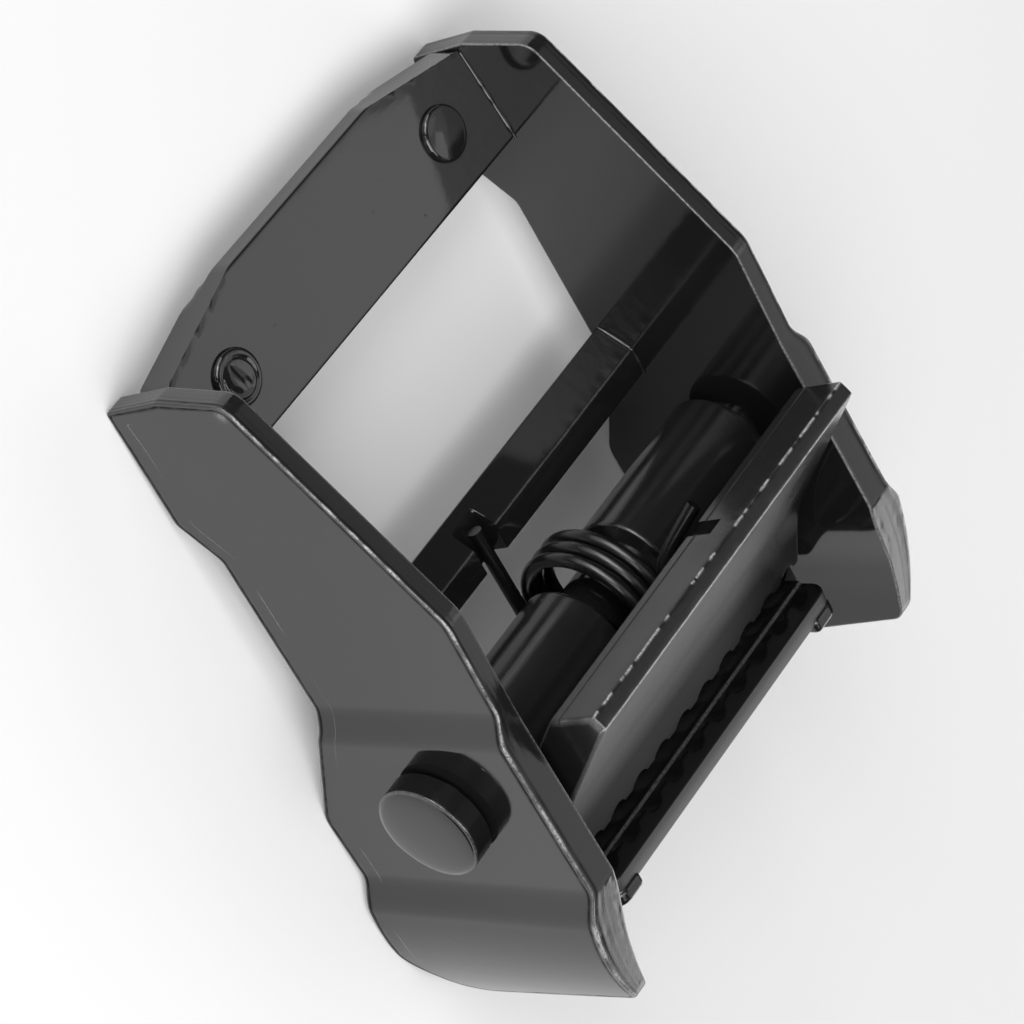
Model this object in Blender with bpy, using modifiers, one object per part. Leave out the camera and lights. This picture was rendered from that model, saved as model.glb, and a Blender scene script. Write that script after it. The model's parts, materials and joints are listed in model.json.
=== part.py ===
"""Cam buckle for 25 mm webbing, in black-coated steel.

Buckle axes: X runs across the webbing, Y from the sewn end to the mouth, Z up to the thumb blade.
The pin's axis is the origin while the pieces are made. The finished buckle is then tilted until it
stands on its side lobes and on the sewn end, with the middle of its box's underside at the origin.
"""

import math

import bmesh
import bpy
import numpy as np
from mathutils import Matrix, Vector

MM = 0.001

# Driving sizes, in millimetres
WEBBING_WIDTH = 25.0
WEBBING_PLAY = 2.8
SHEET = 1.25
GAP = 0.3
PIN_RADIUS = 2.0
BARREL_RADIUS = 3.11
LEVER_HALF = 12.95
WIRE = 0.8
EDGE_ROUND = 0.16

# Side plates, across the buckle
INNER_HALF = (WEBBING_WIDTH + WEBBING_PLAY) / 2
OUTER_HALF = INNER_HALF + SHEET
JOGGLE = 0.8
JOGGLE_FROM, JOGGLE_TO = -6.3, -4.3
FLARE = 0.75
FLARE_FROM, FLARE_TO = 5.2, 7.4
TURN_IN = 2.1
TURN_FROM, TURN_TO = 8.0, 15.0
MOUTH_INNER_GAIN = 0.5

# Side plates, seen from the side: y, z and the radius at each corner
SIDE_OUTLINE = [
    (-26.0, -7.65, 0.8),
    (-26.6, -3.6, 0.0),
    (-26.2, 0.9, 1.2),
    (-12.1, 7.1, 2.0),
    (-5.5, 6.8, 2.0),
    (5.6, 6.85, 1.8),
    (14.0, 4.6, 0.9),
    (15.7, -8.4, 1.9),
    (11.4, -10.2, 2.5),
    (5.5, -9.35, 3.0),
    (1.2, -9.5, 2.0),
    (-5.0, -6.0, 1.0),
    (-16.2, -6.0, 1.0),
    (-18.6, -7.65, 0.8),
]

# Flange at the sewn end
FLANGE_UNDER = -7.63
FLANGE_TOP = FLANGE_UNDER + 1.1
FLANGE_FROM, FLANGE_TO = -25.0, -19.0
FLANGE_REACH = 6.8

# End plate: its top slopes down towards the sewn edge
END_PLATE_TOP = -3.5
END_PLATE_UNDER = -5.95
END_PLATE_SLOPE = math.radians(5.2)
END_PLATE_EDGE = 1.1
END_PLATE_SEWN_EDGE = -28.1
END_PLATE_SHOULDER_Y = -26.25
END_PLATE_STRAIGHT_HALF = 6.45
END_PLATE_SLOT_EDGE = -20.4
RIVET_X = 9.9
RIVET_Y = -23.8
RIVET_SHAFT = 1.05
RIVET_HEAD = 1.6
RIVET_RISE = 0.4

# Crossbar: bent sheet, y and z of its upper side
BAR_LOW = (-7.5, -5.3)
BAR_RIDGE = (-5.9, -3.7)
BAR_BACK_Y = -4.2
BAR_SHEET = 1.3
NOTCH_FROM, NOTCH_TO = 0.6, 2.6
NOTCH_DEPTH = 1.1

# Anvil bar, upright across the mouth
ANVIL_Y = 9.3
ANVIL_THICK = 1.2
ANVIL_TOP = 3.2
ANVIL_UNDER = -5.4
ANVIL_TOP_HALF = 11.85
ANVIL_TAB_HALF = 13.6
ANVIL_SHOULDER = 0.0
ANVIL_STEP_Z = 1.3
ANVIL_STEP = 0.18
LUG_FROM = 9.6
LUG_RISE = 0.55

# Pin
HEAD_RADIUS = 2.95
HEAD_THICK = 1.45
HEAD_DOME = 0.3
TAIL_RADIUS = 2.5
TAIL_THICK = 0.9

# Cam lever section: y, z and corner radius, from the blade's tip down the top face and back
BLADE_TOP = (-3.31, 10.9, 0.12)
BLADE_RIDGE = (-4.14, 10.52, 0.15)
BLADE_FOOT = (-3.73, 7.35, 0.35)
TOP_KNEE = (4.73, 2.83, 1.0)
TOOTH_EDGE = (8.6, 0.85, 0.1)
TOOTH_HEEL = (7.4, -2.6, 0.5)
CAM_BELLY = (6.3, -3.3, 0.8)
BLADE_MEETS_BARREL = 79.6
BELLY_MEETS_BARREL = -72.0
TOOTH_PITCH = 2.33
TOOTH_CUTS = 11
TOOTH_CUT_RADIUS = 0.85
TOOTH_DEPTH = 0.6
SPRING_ROOM_HALF = 2.6
SPRING_ROOM_RADIUS = 4.7
LEG_NOTCH = (-2.15, -1.0)
LEG_NOTCH_RISE = 1.7

# Torsion spring
COIL_RADIUS = 3.95
COIL_TURNS = 3.5
COIL_PITCH = 0.9
COIL_NEAR = 1.8
COIL_STEPS = 22
FRAME_LEG_END = -6.5
BLADE_LEG_BEND = -1.4
BLADE_LEG_TIP = (-3.63, -3.6, 6.1)


def clear_scene():
    for old in list(bpy.data.objects):
        bpy.data.objects.remove(old, do_unlink=True)


def new_collection(name):
    made = bpy.data.collections.new(name)
    bpy.context.scene.collection.children.link(made)
    return made


def metal(name, colour, roughness, metallic):
    made = bpy.data.materials.new(name)
    made.use_nodes = True
    shader = made.node_tree.nodes["Principled BSDF"]
    shader.inputs["Base Color"].default_value = (*colour, 1.0)
    shader.inputs["Roughness"].default_value = roughness
    shader.inputs["Metallic"].default_value = metallic
    return made


def add_mesh(name, mesh, collection, material=None):
    made = bpy.data.objects.new(name, mesh)
    collection.objects.link(made)
    if material is not None:
        mesh.materials.clear()
        mesh.materials.append(material)
    return made


def make_cutter(cutter):
    cutter.hide_render = True
    cutter.display_type = "WIRE"
    return cutter


def shade(obj, angle=32.0):
    obj.data.shade_smooth()
    obj.data.set_sharp_from_angle(angle=math.radians(angle))


def rounded(corners, finest=6):
    """Closed outline from corners (a, b, radius): each corner becomes an arc tangent to its sides."""
    points = []
    count = len(corners)
    for i, (a, b, radius) in enumerate(corners):
        here = Vector((a, b))
        before = (Vector(corners[i - 1][:2]) - here)
        after = (Vector(corners[(i + 1) % count][:2]) - here)
        half = before.angle(after) / 2
        if radius <= 0 or half > math.radians(88.5):
            points.append((here.x, here.y))
            continue
        run = min(radius / math.tan(half), 0.45 * before.length, 0.45 * after.length)
        reach = run * math.tan(half)
        start = here + before.normalized() * run
        centre = here + (before.normalized() + after.normalized()).normalized() * run / math.cos(half)
        swing = math.pi - 2 * half
        steps = finest if radius > 1.2 else 4 if radius > 0.45 else 3 if radius > 0.2 else 2
        turn = 1 if before.cross(after) < 0 else -1
        spoke = start - centre
        assert abs(spoke.length - reach) < 1e-4
        for k in range(steps + 1):
            at = turn * swing * k / steps
            points.append((
                centre.x + spoke.x * math.cos(at) - spoke.y * math.sin(at),
                centre.y + spoke.x * math.sin(at) + spoke.y * math.cos(at),
            ))
    return points


def prism(name, outline, low, high, axis, collection):
    """Fills a flat outline and extrudes it along an axis from low to high, all in millimetres.

    axis X takes the outline as (y, z), axis Y as (x, z) and axis Z as (x, y).
    """
    flat = bpy.data.curves.new(name + "_outline", "CURVE")
    flat.dimensions = "2D"
    flat.fill_mode = "BOTH"
    flat.extrude = (high - low) / 2 * MM
    line = flat.splines.new("POLY")
    line.points.add(len(outline) - 1)
    for point, (a, b) in zip(line.points, outline):
        point.co = (a * MM, b * MM, 0, 1)
    line.use_cyclic_u = True
    holder = bpy.data.objects.new(name + "_flat", flat)
    collection.objects.link(holder)
    middle = (high + low) / 2 * MM
    if axis == "X":
        place = Matrix(((0, 0, 1, middle), (1, 0, 0, 0), (0, 1, 0, 0), (0, 0, 0, 1)))
    elif axis == "Y":
        place = Matrix(((1, 0, 0, 0), (0, 0, -1, middle), (0, 1, 0, 0), (0, 0, 0, 1)))
    else:
        place = Matrix.Translation((0, 0, middle))
    made = mesh_from(holder, name, collection)
    made.data.transform(place)
    shape = bmesh.new()
    shape.from_mesh(made.data)
    bmesh.ops.dissolve_limit(
        shape, angle_limit=math.radians(0.5), verts=shape.verts[:], edges=shape.edges[:]
    )
    bmesh.ops.recalc_face_normals(shape, faces=shape.faces)
    shape.to_mesh(made.data)
    shape.free()
    return made


def mesh_from(holder, name, collection):
    """Turns an object into a plain mesh object as the viewport shows it, with loose caps welded."""
    graph = bpy.context.evaluated_depsgraph_get()
    mesh = bpy.data.meshes.new_from_object(holder.evaluated_get(graph))
    mesh.transform(holder.matrix_world)
    bpy.data.objects.remove(holder, do_unlink=True)
    shape = bmesh.new()
    shape.from_mesh(mesh)
    bmesh.ops.remove_doubles(shape, verts=shape.verts, dist=1e-6)
    shape.to_mesh(mesh)
    shape.free()
    return add_mesh(name, mesh, collection)


def outward(mesh):
    shape = bmesh.new()
    shape.from_mesh(mesh)
    bmesh.ops.recalc_face_normals(shape, faces=shape.faces)
    shape.to_mesh(mesh)
    shape.free()


def rounded_rim(obj, width=EDGE_ROUND, segments=2, limit=40.0):
    bevel = obj.modifiers.new("rounded_edges", "BEVEL")
    bevel.width = width * MM
    bevel.segments = segments
    bevel.limit_method = "ANGLE"
    bevel.angle_limit = math.radians(limit)
    return obj


def boolean(obj, other, operation):
    step = obj.modifiers.new(other.name, "BOOLEAN")
    step.operation = operation
    step.solver = "EXACT"
    step.object = make_cutter(other)


def rod(name, radius, low, high, collection, centre=(0.0, 0.0), sides=48, axis="X"):
    """Cylinder along X through (y, z), or along Z through (x, y)."""
    bpy.ops.mesh.primitive_cylinder_add(
        vertices=sides, radius=radius * MM, depth=(high - low) * MM, location=(0, 0, 0)
    )
    made = bpy.context.object
    made.name = name
    if axis == "X":
        turn = Matrix.Rotation(math.pi / 2, 4, "Y")
        shift = Matrix.Translation(Vector(((low + high) / 2, *centre)) * MM)
    else:
        turn = Matrix.Identity(4)
        shift = Matrix.Translation(Vector((*centre, (low + high) / 2)) * MM)
    made.data.transform(shift @ turn)
    for owner in made.users_collection:
        owner.objects.unlink(made)
    collection.objects.link(made)
    return made


def turned(name, profile, collection, axis="X", sides=40):
    """Solid of revolution: profile lists (along, radius) from the far end to the near end."""
    mesh = bpy.data.meshes.new(name)
    points = [(radius * MM, 0, along * MM) for along, radius in reversed(profile)]
    mesh.from_pydata(points, [(i, i + 1) for i in range(len(points) - 1)], [])
    made = add_mesh(name, mesh, collection)
    screw = made.modifiers.new("turned", "SCREW")
    screw.axis = "Z"
    screw.steps = sides
    screw.render_steps = sides
    screw.use_merge_vertices = True
    screw.merge_threshold = 1e-6
    made = mesh_from(made, name, collection)
    if axis == "X":
        made.data.transform(Matrix.Rotation(math.pi / 2, 4, "Y"))
    outward(made.data)
    return made


def smoothstep(value, low, high):
    t = min(max((value - low) / (high - low), 0.0), 1.0)
    return t * t * (3 - 2 * t)


def plate_outer(y):
    """Half width to the side plate's outer face at y: two joggles outward, then a turn inward."""
    turn = min(max((y - TURN_FROM) / (TURN_TO - TURN_FROM), 0.0), 1.2)
    return (
        OUTER_HALF
        + JOGGLE * smoothstep(y, JOGGLE_FROM, JOGGLE_TO)
        + FLARE * smoothstep(y, FLARE_FROM, FLARE_TO)
        - TURN_IN * turn * turn
    )


def plate_inner(y):
    """Half width to the side plate's inner face at y: straight, then a little wider in the mouth."""
    return INNER_HALF + MOUTH_INNER_GAIN * smoothstep(y, 6.0, 10.5) - 0.25 * smoothstep(y, 11.5, 15.5)


def bent_side_plate(name, collection):
    """Side plate as a flat blank with rounded edges, sliced across its bends and then bent."""
    plate = prism(name, rounded(SIDE_OUTLINE), 0, SHEET, "X", collection)
    shape = bmesh.new()
    shape.from_mesh(plate.data)
    rim = [e for e in shape.edges if e.is_manifold and e.calc_face_angle() > math.radians(70)]
    bmesh.ops.bevel(
        shape, geom=rim, offset=EDGE_ROUND * MM, offset_type="OFFSET", segments=2, profile=0.5,
        affect="EDGES", clamp_overlap=True,
    )
    slices = list(np.linspace(JOGGLE_FROM, JOGGLE_TO, 7))
    slices += list(np.linspace(FLARE_FROM, FLARE_TO, 8))
    slices += list(np.linspace(TURN_FROM, 14.6, 7))
    for y in slices:
        bmesh.ops.bisect_plane(
            shape, geom=shape.verts[:] + shape.edges[:] + shape.faces[:], dist=1e-7,
            plane_co=(0, y * MM, 0), plane_no=(0, 1, 0),
        )
    for vert in shape.verts:
        y = vert.co.y / MM
        share = vert.co.x / (SHEET * MM)
        vert.co.x = (plate_inner(y) * (1 - share) + plate_outer(y) * share) * MM
    shape.to_mesh(plate.data)
    shape.free()
    return plate


def flange_piece(collection):
    """Bent-in flange: the plate's foot turned inward under the end plate."""
    reach, root = FLANGE_REACH, INNER_HALF + 0.3
    outline = rounded([
        (root, FLANGE_FROM, 0),
        (root, FLANGE_TO, 0),
        (reach, FLANGE_TO, 0.8),
        (reach, FLANGE_FROM, 0.8),
    ])
    return prism("flange", outline, FLANGE_UNDER, FLANGE_TOP, "Z", collection)


def make_side_plates(parts, cutters, material):
    plate = bent_side_plate("side_plate_near", parts)
    boolean(plate, flange_piece(cutters), "UNION")
    boolean(plate, rod("pin_hole", PIN_RADIUS + GAP, 8, 24, cutters, sides=40), "DIFFERENCE")
    boolean(plate, rivet_hole("rivet_hole", RIVET_X, cutters), "DIFFERENCE")
    near = mesh_from(plate, "side_plate_near", parts)
    near.data.materials.clear()
    near.data.materials.append(material)
    shade(near)
    mirrored = near.data.copy()
    mirrored.transform(Matrix.Scale(-1, 4, (1, 0, 0)))
    mirrored.flip_normals()
    return [near, add_mesh("side_plate_far", mirrored, parts)]


def sloped(x):
    """Places what is made about the end plate's normal on its sloped top at the rivet beside x."""
    drop = (END_PLATE_SLOT_EDGE - RIVET_Y) * math.tan(END_PLATE_SLOPE)
    seat = Vector((x, RIVET_Y, END_PLATE_TOP - drop)) * MM
    return Matrix.Translation(seat) @ Matrix.Rotation(END_PLATE_SLOPE, 4, "X")


def rivet_hole(name, x, collection):
    hole = rod(name, RIVET_SHAFT + GAP, -8, 3, collection, sides=28, axis="Z")
    hole.data.transform(sloped(x))
    return hole


def make_end_plate(parts, cutters, material):
    side = INNER_HALF - GAP
    rise = (END_PLATE_SLOT_EDGE - END_PLATE_SEWN_EDGE) * math.tan(END_PLATE_SLOPE)
    low_edge = END_PLATE_TOP - rise - END_PLATE_EDGE
    section = rounded([
        (END_PLATE_SEWN_EDGE, END_PLATE_TOP - rise, 0.12),
        (END_PLATE_SLOT_EDGE, END_PLATE_TOP, 0.15),
        (END_PLATE_SLOT_EDGE, END_PLATE_UNDER, 0.15),
        (END_PLATE_SEWN_EDGE + low_edge - END_PLATE_UNDER, END_PLATE_UNDER, 0.1),
        (END_PLATE_SEWN_EDGE, low_edge, 0.1),
    ])
    outline = rounded([
        (-side, END_PLATE_SHOULDER_Y, 0.3),
        (-END_PLATE_STRAIGHT_HALF, END_PLATE_SEWN_EDGE, 1.2),
        (END_PLATE_STRAIGHT_HALF, END_PLATE_SEWN_EDGE, 1.2),
        (side, END_PLATE_SHOULDER_Y, 0.3),
        (side, END_PLATE_SLOT_EDGE + 2, 0),
        (-side, END_PLATE_SLOT_EDGE + 2, 0),
    ])
    plate = prism("end_plate", section, -side - 2, side + 2, "X", parts)
    plate.data.materials.append(material)
    boolean(plate, prism("end_plate_plan", outline, -12, 0, "Z", cutters), "INTERSECT")
    for side_name, x in (("near", RIVET_X), ("far", -RIVET_X)):
        boolean(plate, rivet_hole(f"end_hole_{side_name}", x, cutters), "DIFFERENCE")
    shade(plate)
    return plate


def make_rivets(parts, material):
    made = []
    seat = GAP
    drop = (END_PLATE_SLOT_EDGE - RIVET_Y) * math.tan(END_PLATE_SLOPE)
    foot = FLANGE_UNDER + 0.25 - END_PLATE_TOP + drop
    profile = [
        (foot, 0.0),
        (foot, RIVET_SHAFT),
        (seat, RIVET_SHAFT),
        (seat, RIVET_HEAD - 0.1),
        (seat + 0.1, RIVET_HEAD),
        (seat + RIVET_RISE - 0.12, RIVET_HEAD),
        (seat + RIVET_RISE, RIVET_HEAD - 0.15),
        (seat + RIVET_RISE + 0.06, 0.0),
    ]
    for side_name, x in (("near", RIVET_X), ("far", -RIVET_X)):
        rivet = turned(f"end_rivet_{side_name}", profile, parts, "Z", 30)
        rivet.data.transform(sloped(x))
        rivet.data.materials.append(material)
        shade(rivet)
        made.append(rivet)
    return made


def make_crossbar(parts, cutters, material):
    low, ridge = Vector(BAR_LOW), Vector(BAR_RIDGE)
    slope = (ridge - low).normalized()
    under = Vector((slope.y, -slope.x)) * BAR_SHEET
    inner_ridge = Vector((ridge.x + BAR_SHEET * math.tan(math.radians(22.5)), ridge.y - BAR_SHEET))
    outline = rounded([
        (*low, 0.1),
        (*ridge, 0.3),
        (BAR_BACK_Y, ridge.y, 0.15),
        (BAR_BACK_Y, ridge.y - BAR_SHEET, 0.15),
        (*inner_ridge, 0.2),
        (*(low + under), 0.15),
    ])
    half = INNER_HALF - GAP
    bar = prism("crossbar", outline, -half, half, "X", parts)
    bar.data.materials.append(material)
    block = [
        (BAR_LOW[0] - 1, BAR_RIDGE[1] - NOTCH_DEPTH),
        (0, BAR_RIDGE[1] - NOTCH_DEPTH),
        (0, 0),
        (BAR_LOW[0] - 1, 0),
    ]
    boolean(bar, prism("leg_notch", block, NOTCH_FROM, NOTCH_TO, "X", cutters), "DIFFERENCE")
    rounded_rim(bar, 0.08, 1, 50)
    shade(bar)
    return bar


def make_anvil_bar(parts, cutters, material):
    tab, top = ANVIL_TAB_HALF, ANVIL_TOP_HALF
    outline = rounded([
        (-tab, ANVIL_UNDER, 0.5),
        (tab, ANVIL_UNDER, 0.5),
        (tab, ANVIL_SHOULDER - 0.6, 0.5),
        (top, ANVIL_SHOULDER, 0.6),
        (top, ANVIL_TOP, 1.0),
        (-top, ANVIL_TOP, 1.0),
        (-top, ANVIL_SHOULDER, 0.6),
        (-tab, ANVIL_SHOULDER - 0.6, 0.5),
    ])
    bar = prism("anvil_bar", outline, ANVIL_Y - ANVIL_STEP, ANVIL_Y + ANVIL_THICK, "Y", parts)
    bar.data.materials.append(material)
    recess = [
        (-top - 2, ANVIL_STEP_Z),
        (top + 2, ANVIL_STEP_Z),
        (top + 2, ANVIL_TOP + 2),
        (-top - 2, ANVIL_TOP + 2),
    ]
    boolean(bar, prism("face_recess", recess, ANVIL_Y - 2, ANVIL_Y, "Y", cutters), "DIFFERENCE")
    for side_name, side in (("near", 1), ("far", -1)):
        low, high = sorted((side * LUG_FROM, side * (top - 0.03)))
        lug = rounded([
            (low, ANVIL_SHOULDER - 1.0, 0.4),
            (high, ANVIL_SHOULDER - 1.0, 0.4),
            (high, ANVIL_TOP - 0.03, 0.9),
            (low, ANVIL_TOP - 0.03, 0.4),
        ] if side > 0 else [
            (low, ANVIL_SHOULDER - 1.0, 0.4),
            (high, ANVIL_SHOULDER - 1.0, 0.4),
            (high, ANVIL_TOP - 0.03, 0.4),
            (low, ANVIL_TOP - 0.03, 0.9),
        ])
        back = ANVIL_Y + ANVIL_THICK
        boss = prism(f"lug_{side_name}", lug, back - 0.3, back + LUG_RISE, "Y", cutters)
        boolean(bar, boss, "UNION")
    rounded_rim(bar, 0.12, 1, 50)
    shade(bar)
    return bar


def make_pin(parts, material):
    near = OUTER_HALF + JOGGLE + GAP
    far = -near
    head = near + HEAD_THICK
    dome = [
        (head + HEAD_DOME * math.sin(math.pi / 2 * k / 4), (HEAD_RADIUS - 0.12) * math.cos(math.pi / 2 * k / 4))
        for k in range(5)
    ]
    dome[-1] = (head + HEAD_DOME, 0.0)
    profile = [
        (far - TAIL_THICK, 0.0),
        (far - TAIL_THICK, TAIL_RADIUS - 0.5),
        (far - TAIL_THICK + 0.35, TAIL_RADIUS),
        (far, TAIL_RADIUS),
        (far, PIN_RADIUS),
        (near, PIN_RADIUS),
        (near, HEAD_RADIUS),
        (head - 0.08, HEAD_RADIUS),
        *dome,
    ]
    pin = turned("pivot_pin", profile, parts, "X", 44)
    pin.data.materials.append(material)
    shade(pin)
    return pin


def lever_section():
    """Section of the lever in (y, z): blade and top face, toothed edge, belly, and the barrel's arc."""
    barrel = []
    start = math.radians(BELLY_MEETS_BARREL)
    end = math.radians(BLADE_MEETS_BARREL - 360)
    steps = 30
    for k in range(steps + 1):
        at = start + (end - start) * k / steps
        barrel.append((BARREL_RADIUS * math.cos(at), BARREL_RADIUS * math.sin(at), 0))
    front = [BLADE_TOP, TOP_KNEE, TOOTH_EDGE, TOOTH_HEEL, CAM_BELLY]
    return rounded([*front, *barrel, BLADE_FOOT, BLADE_RIDGE], 4)


def make_lever(parts, cutters, material):
    lever = prism("cam_lever", lever_section(), -LEVER_HALF, LEVER_HALF, "X", parts)
    lever.data.materials.append(material)
    rounded_rim(lever, 0.1, 2, 38)
    boolean(lever, rod("pin_bore", PIN_RADIUS + GAP, -20, 20, cutters), "DIFFERENCE")
    room = rod("spring_room", SPRING_ROOM_RADIUS, -SPRING_ROOM_HALF, SPRING_ROOM_HALF, cutters, sides=64)
    boolean(lever, room, "DIFFERENCE")
    foot_y, foot_z = BLADE_FOOT[:2]
    slot = [
        (foot_y - 1.5, foot_z - 2.0),
        (foot_y + 1.0, foot_z - 2.0),
        (foot_y + 0.6, foot_z + LEG_NOTCH_RISE - 0.4),
        (foot_y - 1.5, foot_z + LEG_NOTCH_RISE),
    ]
    boolean(lever, prism("blade_notch", slot, *LEG_NOTCH, "X", cutters), "DIFFERENCE")
    edge, heel = Vector(TOOTH_EDGE[:2]), Vector(TOOTH_HEEL[:2])
    along = (edge - heel).normalized()
    out = Vector((along.y, -along.x))
    axis_at = (edge + heel) / 2 + out * (TOOTH_CUT_RADIUS - TOOTH_DEPTH)
    tilt = math.atan2(-along.x, along.y)
    for k in range(TOOTH_CUTS):
        x = (k - (TOOTH_CUTS - 1) / 2) * TOOTH_PITCH
        cut = rod(f"tooth_cut_{k}", TOOTH_CUT_RADIUS, -4.5, 4.5, cutters, sides=20, axis="Z")
        cut.data.transform(
            Matrix.Translation(Vector((x, axis_at.x, axis_at.y)) * MM) @ Matrix.Rotation(tilt, 4, "X")
        )
        boolean(lever, cut, "DIFFERENCE")
    shade(lever)
    return lever


def spring_path():
    """Centre line of the spring: frame leg along the crossbar, coil round the pin, leg up the blade."""
    turns = COIL_TURNS
    near = COIL_NEAR
    points = [(near, y, -COIL_RADIUS) for y in (FRAME_LEG_END, -3.0, -0.6)]
    count = int(turns * COIL_STEPS)
    for k in range(count + 1):
        share = k / count
        at = -math.pi / 2 + share * turns * 2 * math.pi
        points.append((near - share * turns * COIL_PITCH, COIL_RADIUS * math.cos(at), COIL_RADIUS * math.sin(at)))
    start, tip = Vector(points[-1]), Vector(BLADE_LEG_TIP)
    bend = Vector((start.x, BLADE_LEG_BEND, start.z))
    for k in range(8):
        share = k / 7
        first = start.lerp(bend, 0.45 + 0.55 * share)
        second = bend.lerp(tip, 0.45 * share)
        points.append(tuple(first.lerp(second, share)))
    points.append(tuple(tip))
    return points


def make_spring(parts, material):
    wire = bpy.data.curves.new("torsion_spring", "CURVE")
    wire.dimensions = "3D"
    wire.bevel_depth = WIRE / 2 * MM
    wire.bevel_resolution = 2
    wire.use_fill_caps = True
    points = spring_path()
    line = wire.splines.new("POLY")
    line.points.add(len(points) - 1)
    for point, place in zip(line.points, points):
        point.co = (*(Vector(place) * MM), 1)
    holder = bpy.data.objects.new("spring_wire", wire)
    parts.objects.link(holder)
    spring = mesh_from(holder, "torsion_spring", parts)
    spring.data.materials.clear()
    spring.data.materials.append(material)
    shade(spring, 50)
    return spring


def evaluated_points(objects):
    """World positions of all vertices as the viewport evaluates them, as one array."""
    bpy.context.view_layer.update()
    graph = bpy.context.evaluated_depsgraph_get()
    found = []
    for obj in objects:
        shown = obj.evaluated_get(graph)
        mesh = shown.to_mesh()
        flat = np.empty(len(mesh.vertices) * 3)
        mesh.vertices.foreach_get("co", flat)
        turn = np.array(obj.matrix_world)
        found.append(flat.reshape(-1, 3) @ turn[:3, :3].T + turn[:3, 3])
        shown.to_mesh_clear()
    return np.concatenate(found)


def resting_tilt(points):
    """Turn about X that brings the sewn end and the lobes down to one level, found by halving."""
    sewn = points[points[:, 1] < -15 * MM]
    lobes = points[points[:, 1] > 0]
    low, high = -0.3, 0.3
    for _ in range(50):
        tilt = (low + high) / 2
        heights = [
            (part[:, 1] * math.sin(tilt) + part[:, 2] * math.cos(tilt)).min() for part in (sewn, lobes)
        ]
        if heights[0] > heights[1]:
            low = tilt
        else:
            high = tilt
    return tilt


def settle(frame, objects):
    """Stands the buckle on the ground with the middle of its box's underside at the origin."""
    tilt = resting_tilt(evaluated_points(objects))
    frame.rotation_euler = (tilt, 0, 0)
    points = evaluated_points(objects)
    low, high = points.min(axis=0), points.max(axis=0)
    frame.location -= Vector(((low[0] + high[0]) / 2, (low[1] + high[1]) / 2, low[2]))
    bpy.context.view_layer.update()
    return tilt


def build():
    clear_scene()
    parts = new_collection("cam_buckle")
    cutters = new_collection("cutters")
    coated = metal("coated_steel", (0.030, 0.030, 0.031), 0.24, 0.0)
    cast = metal("coated_casting", (0.034, 0.034, 0.035), 0.27, 0.0)
    spring_steel = metal("coated_spring_steel", (0.022, 0.022, 0.023), 0.22, 0.0)

    frame = bpy.data.objects.new("buckle_frame", None)
    pivot = bpy.data.objects.new("cam_axis", None)
    parts.objects.link(frame)
    parts.objects.link(pivot)
    pivot.parent = frame

    fixed = make_side_plates(parts, cutters, coated)
    fixed += [make_end_plate(parts, cutters, coated)]
    fixed += make_rivets(parts, coated)
    fixed += [make_crossbar(parts, cutters, coated), make_anvil_bar(parts, cutters, coated)]
    fixed += [make_pin(parts, coated), make_spring(parts, spring_steel)]
    lever = make_lever(parts, cutters, cast)
    for piece in fixed + list(cutters.objects):
        piece.parent = frame
    lever.parent = pivot

    tilt = settle(frame, fixed + [lever])
    print(f"tilt {math.degrees(tilt):.3f} deg, pin axis at {[round(v / MM, 3) for v in frame.location]} mm")


build()
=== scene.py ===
# %% [markdown]
# # Cam buckle in glossy black coating
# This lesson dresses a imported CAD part, a buckle that grips 25 mm webbing between a toothed cam and a bar.
# The CAD solids already have the right sizes, but their bends are made of a few flat slices and their edges
# are clean. Bevels and bump maps could hide some of that. Here every piece is made again as a smooth surface
# in the same place, because then the marks of stamping, casting and coating can be part of its shape.

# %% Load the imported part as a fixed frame
import json
import math

import bmesh
import bpy
import numpy as np
from mathutils import Matrix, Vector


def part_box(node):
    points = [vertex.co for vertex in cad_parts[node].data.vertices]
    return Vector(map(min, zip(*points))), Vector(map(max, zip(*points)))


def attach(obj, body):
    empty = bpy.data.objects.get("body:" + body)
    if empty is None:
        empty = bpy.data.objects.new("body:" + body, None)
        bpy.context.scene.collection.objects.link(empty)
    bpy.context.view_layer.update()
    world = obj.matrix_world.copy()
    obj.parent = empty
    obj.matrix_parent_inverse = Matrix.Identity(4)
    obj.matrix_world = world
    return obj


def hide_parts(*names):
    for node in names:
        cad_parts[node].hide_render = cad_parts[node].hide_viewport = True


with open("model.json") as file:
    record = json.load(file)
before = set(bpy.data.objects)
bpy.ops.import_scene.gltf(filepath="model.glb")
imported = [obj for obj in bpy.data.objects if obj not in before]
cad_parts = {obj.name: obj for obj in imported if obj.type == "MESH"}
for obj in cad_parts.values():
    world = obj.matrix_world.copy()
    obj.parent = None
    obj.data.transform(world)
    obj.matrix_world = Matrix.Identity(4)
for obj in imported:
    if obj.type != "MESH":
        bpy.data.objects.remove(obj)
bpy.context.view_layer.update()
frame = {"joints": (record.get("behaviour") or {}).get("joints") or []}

# %% [markdown]
# ## One set of axes for all pieces
# A buckle is easiest to think about with the pin's axis as the origin: X runs across the webbing, Y from
# the sewn end to the mouth and Z up to the thumb blade, all in millimetres. The real buckle stands a little
# tilted on its side lobes, so one function turns and moves every shape into the place where the CAD has it.

# %% From buckle millimetres to the shared frame
MM = 0.001
TILT = math.radians(3.9034915)
PIN_AT = np.array(frame["joints"][0]["pos_m"]) / MM


def place(points):
    """Turns buckle points about X by TILT, moves the pin's axis to PIN_AT and gives metres."""
    x, y, z = np.moveaxis(np.asarray(points, float), -1, 0)
    c, s = math.cos(TILT), math.sin(TILT)
    return (np.stack([x, c * y - s * z, s * y + c * z], axis=-1) + PIN_AT) * MM


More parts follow.
